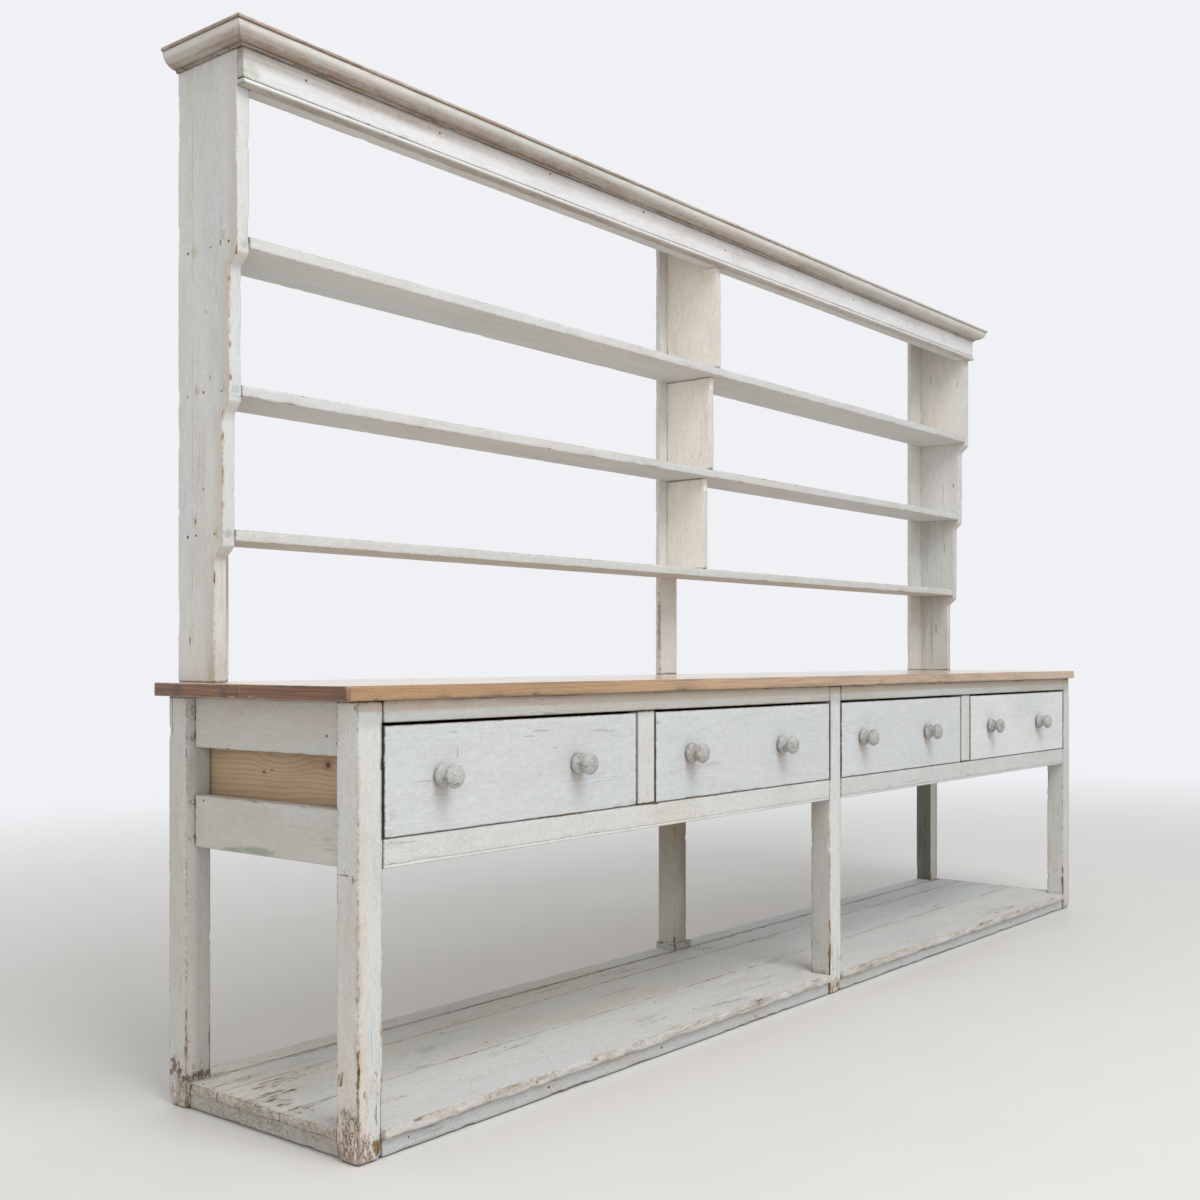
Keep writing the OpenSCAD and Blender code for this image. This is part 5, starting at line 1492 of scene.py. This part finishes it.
class DRESSER_OT_fixings(Operator):
    """Make the nail heads and the pegs of the joints"""

    bl_idname = "dresser.fixings"
    bl_label = "Nails and pegs"
    bl_options = {"REGISTER", "UNDO"}

    def execute(self, context):
        """Cut nails stand a hair out of the wood; pegs end under the paint."""
        look = context.scene.dresser
        places, ways = nail_places()
        head = turned_mesh("nail head", NAIL_PROFILE, 8, 0.3, 3)
        mesh = set_on_points("nail_heads", places, ways, head, "nail iron", look.wear.nail / MM, 0.3, 4)
        place_piece("cut_nails", mesh, ["nail iron"], [])

        places, ways = peg_places()
        peg = turned_mesh("peg", PEG_PROFILE, 9, 0.10, 6)
        mesh = set_on_points("pegs", places, ways, peg, "base paint", 1.0, 0.06, 9)
        add_paint_fields(mesh, 1, 3)
        place_piece("peg_ends", mesh, ["base paint"], ["joint_pegs"])
        return {"FINISHED"}


class DRESSER_OT_inside(Operator):
    """Give the drawer boxes, runners and bearers their pine"""

    bl_idname = "dresser.inside"
    bl_label = "Drawer boxes and runners"
    bl_options = {"REGISTER", "UNDO"}

    def execute(self, context):
        """These nodes keep their CAD shape."""
        repaint("pine along y", "drawer_runners", "drawer_kickers", "drawer_guides",
                "potboard_bearers", "rack_dowels")
        repaint("pine along x", "worktop_tongue", *(f"drawer_{i}_bottom" for i in (1, 2, 3, 4)))
        repaint("drawer pine", *(f"drawer_{i}_carcass" for i in (1, 2, 3, 4)))
        return {"FINISHED"}


# ---------------------------------------------------------------- stage

# Solved from edges and corners measured in the photograph; metres, degrees and parts of the width
CAMERA_PLACE, CAMERA_HEADING, CAMERA_SHIFT = (-3.4565, -2.2391, 0.934), -50.882, 0.0469
SENSOR_W = 36.0
FLOOR_R = 40.0


class DRESSER_OT_stage(Operator):
    """Lay the floor and set the lamps, the background and the camera"""

    bl_idname = "dresser.stage"
    bl_label = "Stage"
    bl_options = {"REGISTER", "UNDO"}

    def execute(self, context):
        """Plain pale floor, soft light, and the photograph's point of view."""
        stage = context.scene.dresser.stage
        mesh = bpy.data.meshes.new("floor")
        disc = bmesh.new()
        bmesh.ops.create_circle(disc, cap_ends=True, radius=FLOOR_R, segments=96)
        disc.to_mesh(mesh)
        disc.free()
        floor = add_object("floor", mesh)
        finish, shader, place = new_finish("floor")
        tree = place.tree
        ground = tuple(stage.floor)
        speck = fade(clouded(place, 3.0, 4.0), 0.3, 0.7, 0.0, 0.25)
        feed(shader, {"Base Color": tinted(speck, ground, tuple(v * 0.93 for v in ground)), "Roughness": 0.55,
                      "Specular IOR Level": 0.3})
        glow = Wire(put(tree, "ShaderNodeEmission", {"Color": stage.backdrop, "Strength": 1.0}).outputs[0])
        away = fade(reckon("LENGTH", stretched(place, (0.75, 1.0, 1.0)), output="Value"), 1.6, 6.5)
        path = wires(put(tree, "ShaderNodeLightPath"))
        share = away * most(path["Is Camera Ray"], path["Is Glossy Ray"])
        both = wired("ShaderNodeMixShader", {0: share, 1: Wire(shader.outputs[0]), 2: glow})
        feed(next(n for n in tree.nodes if n.type == "OUTPUT_MATERIAL"), {"Surface": both})
        mesh.materials.append(finish)

        world = bpy.data.worlds.new("soft room")
        context.scene.world = world
        world.use_nodes = True
        tree = world.node_tree
        tree.nodes.clear()
        path = wires(put(tree, "ShaderNodeLightPath"))
        seen = most(path["Is Camera Ray"], most(path["Is Glossy Ray"], path["Is Transmission Ray"]))
        lit, shown = (Wire(put(tree, "ShaderNodeBackground", {"Color": colour, "Strength": strength}).outputs[0])
                      for colour, strength in (((1.0, 1.0, 1.0), stage.ambient), (stage.backdrop, 1.0)))
        mixed = wired("ShaderNodeMixShader", {0: seen, 1: lit, 2: shown})
        put(tree, "ShaderNodeOutputWorld", {"Surface": mixed})

        for name, place, aim, size, power in (
                ("front lamp", (-1.8, -4.4, 7.0), (0.0, 0.0, 1.0), 4.0, stage.key),
                ("side lamp", (-5.8, -4.6, 2.6), (-0.2, 0.1, 1.2), 3.5, stage.side)):
            lamp = bpy.data.lights.new(name, "AREA")
            lamp.shape, lamp.size, lamp.energy = "SQUARE", size, power
            made = add_object(name, lamp)
            made.location = place
            made.rotation_euler = (Vector(aim) - Vector(place)).to_track_quat("-Z", "Y").to_euler()

        camera = bpy.data.cameras.new("camera")
        camera.lens, camera.sensor_width, camera.shift_y = stage.lens / MM, SENSOR_W, CAMERA_SHIFT
        made = add_object("camera", camera)
        made.location = CAMERA_PLACE
        made.rotation_euler = (math.radians(90), 0.0, math.radians(CAMERA_HEADING))
        context.scene.camera = made
        context.scene.view_settings.view_transform = "Standard"
        return {"FINISHED"}


# ---------------------------------------------------------------- add-on

ORDER = ("stage", "worktop", "legs", "base_rails", "drawer_fronts", "potboard", "rack", "cornice",
         "knobs", "fixings", "inside")


class DRESSER_PT_panel(Panel):
    """Sizes, colours and the operators that make the dresser"""

    bl_label = "Potboard Dresser"
    bl_idname = "DRESSER_PT_panel"
    bl_space_type = "VIEW_3D"
    bl_region_type = "UI"
    bl_category = "Dresser"

    def draw(self, context):
        look = context.scene.dresser
        for label in ("wear", "paint", "pine", "stage"):
            group = getattr(look, label)
            box = self.layout.box()
            box.label(text=label.capitalize())
            for field in group.__annotations__:
                box.prop(group, field)
        for name in ORDER:
            self.layout.operator(f"dresser.{name}")


CLASSES = (
    DresserWear, DresserPaint, DresserPine, DresserStage, DresserSettings,
    DRESSER_OT_worktop, DRESSER_OT_legs, DRESSER_OT_base_rails, DRESSER_OT_drawer_fronts,
    DRESSER_OT_potboard, DRESSER_OT_rack, DRESSER_OT_cornice, DRESSER_OT_knobs,
    DRESSER_OT_fixings, DRESSER_OT_inside, DRESSER_OT_stage, DRESSER_PT_panel)


def register():
    for item in CLASSES:
        bpy.utils.register_class(item)
    bpy.types.Scene.dresser = PointerProperty(type=DresserSettings)


def unregister():
    del bpy.types.Scene.dresser
    for item in reversed(CLASSES):
        bpy.utils.unregister_class(item)


def main():
    """Register, and make every piece in order."""
    register()
    for name in ORDER:
        getattr(bpy.ops.dresser, name)()


if __name__ == "__main__":
    main()
